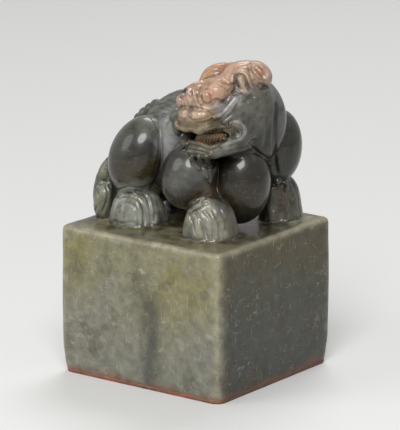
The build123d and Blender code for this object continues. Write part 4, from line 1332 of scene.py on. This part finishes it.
def colour_paste(points):
    """Vermilion on the left and back sides, thin and brown on the right side."""
    x, y, t = points.T
    return layered(points, (84, 48, 36), [
        ((158, 64, 40), 0.5 + 0.6 * rumple(x, y, t, 4, 63)),
        ((80, 54, 42), 0.85 * smooth_step(20, 25, x + 2 * rumple(x, y, t, 6, 61))),
    ])


def build_lion(lion, material):
    """The lion's pieces, cut from the one carving."""
    for node, (field, low) in split(lion).items():
        points, faces = surface(field, low, lion.whole.step)
        points = relax(points, faces, 2, 0.5)
        normals = lion.slope(points)
        colours, dull = colour_lion(lion, points, normals)
        mesh_piece(f"carved_{node}", node, points, faces, colours, dull, material)


def build_block(lion, material):
    """The block, with the lion's feet running into its top."""
    grid, field = block_field(lion)
    points, faces = surface(field, grid.low, grid.step)
    points = relax(points, faces, 2, 0.5)
    dull = 0.6 - 0.25 * smooth_step(-1.5, 0, points[:, 2])
    mesh_piece("stone_block", "seal_block", points, faces, colour_block(points), dull, material)


def build_face(material):
    """The engraved layer under the block."""
    grid, field = face_field()
    points, faces = surface(field, grid.low, grid.step)
    points = relax(points, faces, 1, 0.5) - BLOCK_TOP
    mesh_piece("engraved_face", "seal_face", points, faces, colour_face(points), 1, material)


def build_paste(material):
    """The dried paste round the foot."""
    points, faces = paste_strip()
    mesh_piece("dried_paste", "paste_residue", points, faces, colour_paste(points), 1, material)


# Studio: floor, light and camera

# Soft boxes: degrees to the right of the camera and above it, distance and size in m, power in watts
LIGHTS = {
    "key": (-6, 27, 0.9, (0.50, 0.44), 7.2),
    "left_fill": (-70, 16, 1.0, (0.6, 0.6), 2.6),
    "right_fill": (80, 30, 1.1, (0.5, 0.5), 0.35),
    "back_light": (165, 40, 1.0, (0.6, 0.4), 4.5),
}
LIT_POINT = Vector((0, 0, 0.05))
FLOOR = 4
FLOOR_COLOUR, FLOOR_ROUGHNESS = (0.66, 0.66, 0.65, 1), 0.7

# The surround's strength as light on the stamp, and as the camera and reflections see it
SURROUND_LIGHT, SURROUND_SEEN = 0.24, 0.55


def area_light(name, right, up, distance, size, power):
    """A soft box that looks at the stamp."""
    turn, rise = AZIMUTH + radians(right), ELEVATION + radians(up)
    away = Vector((sin(turn) * cos(rise), -cos(turn) * cos(rise), sin(rise)))
    lamp = bpy.data.lights.new(name, "AREA")
    lamp.shape, lamp.size, lamp.size_y = "ELLIPSE", *size
    lamp.energy = power
    holder = add_object(name, lamp)
    holder.location = LIT_POINT + away * distance
    holder.rotation_euler = (LIT_POINT - holder.location).to_track_quat("-Z", "Y").to_euler()


def pale_floor():
    """The floor the stamp stands on."""
    mesh = bpy.data.meshes.new("floor")
    corners = [(x * FLOOR, y * FLOOR, 0) for x, y in ((-1, -1), (1, -1), (1, 1), (-1, 1))]
    mesh.from_pydata(corners, [], [(0, 1, 2, 3)])
    floor = add_object("floor", mesh)
    material = bpy.data.materials.new("pale_floor")
    Nodes(material).shade({"Base Color": FLOOR_COLOUR, "Roughness": FLOOR_ROUGHNESS})
    mesh.materials.append(material)


def surround():
    """A pale surrounding, brighter to the camera and in reflections than as a light."""
    world = bpy.data.worlds.new("studio")
    bpy.context.scene.world = world
    nodes = Nodes(world)
    path = nodes.add("ShaderNodeLightPath").outputs
    either = nodes.math("MAXIMUM", path["Is Camera Ray"], path["Is Glossy Ray"])
    strength = nodes.band(either, 0, 1, SURROUND_LIGHT, SURROUND_SEEN)
    background = nodes.add("ShaderNodeBackground", {"Color": (1, 1, 1, 1), "Strength": strength})
    nodes.add("ShaderNodeOutputWorld", {"Surface": background.outputs[0]})


def photo_camera():
    """The camera where the photograph was taken from."""
    data = bpy.data.cameras.new("photo_camera")
    data.sensor_fit = "VERTICAL"
    data.sensor_height = 36.0
    data.lens = FOCAL_PIXELS * data.sensor_height / IMAGE_SIZE[1]
    camera = add_object("photo_camera", data)
    camera.location = Vector(CAMERA_PLACE * MM)
    camera.rotation_euler = Vector(-TO_CAMERA).to_track_quat("-Z", "Y").to_euler()
    bpy.context.scene.camera = camera


photo_camera()
pale_floor()
for name, light in LIGHTS.items():
    area_light(name, *light)
surround()
bpy.context.scene.view_settings.view_transform = "Standard"
lion = sculpt_lion()
lion.join_ground()
lion_stone, block_stone, face_stone = (stone_material(name, **look) for name, look in FINISHES.items())
build_lion(lion, lion_stone)
build_block(lion, block_stone)
build_face(face_stone)
build_paste(paste_material())
bpy.context.view_layer.update()
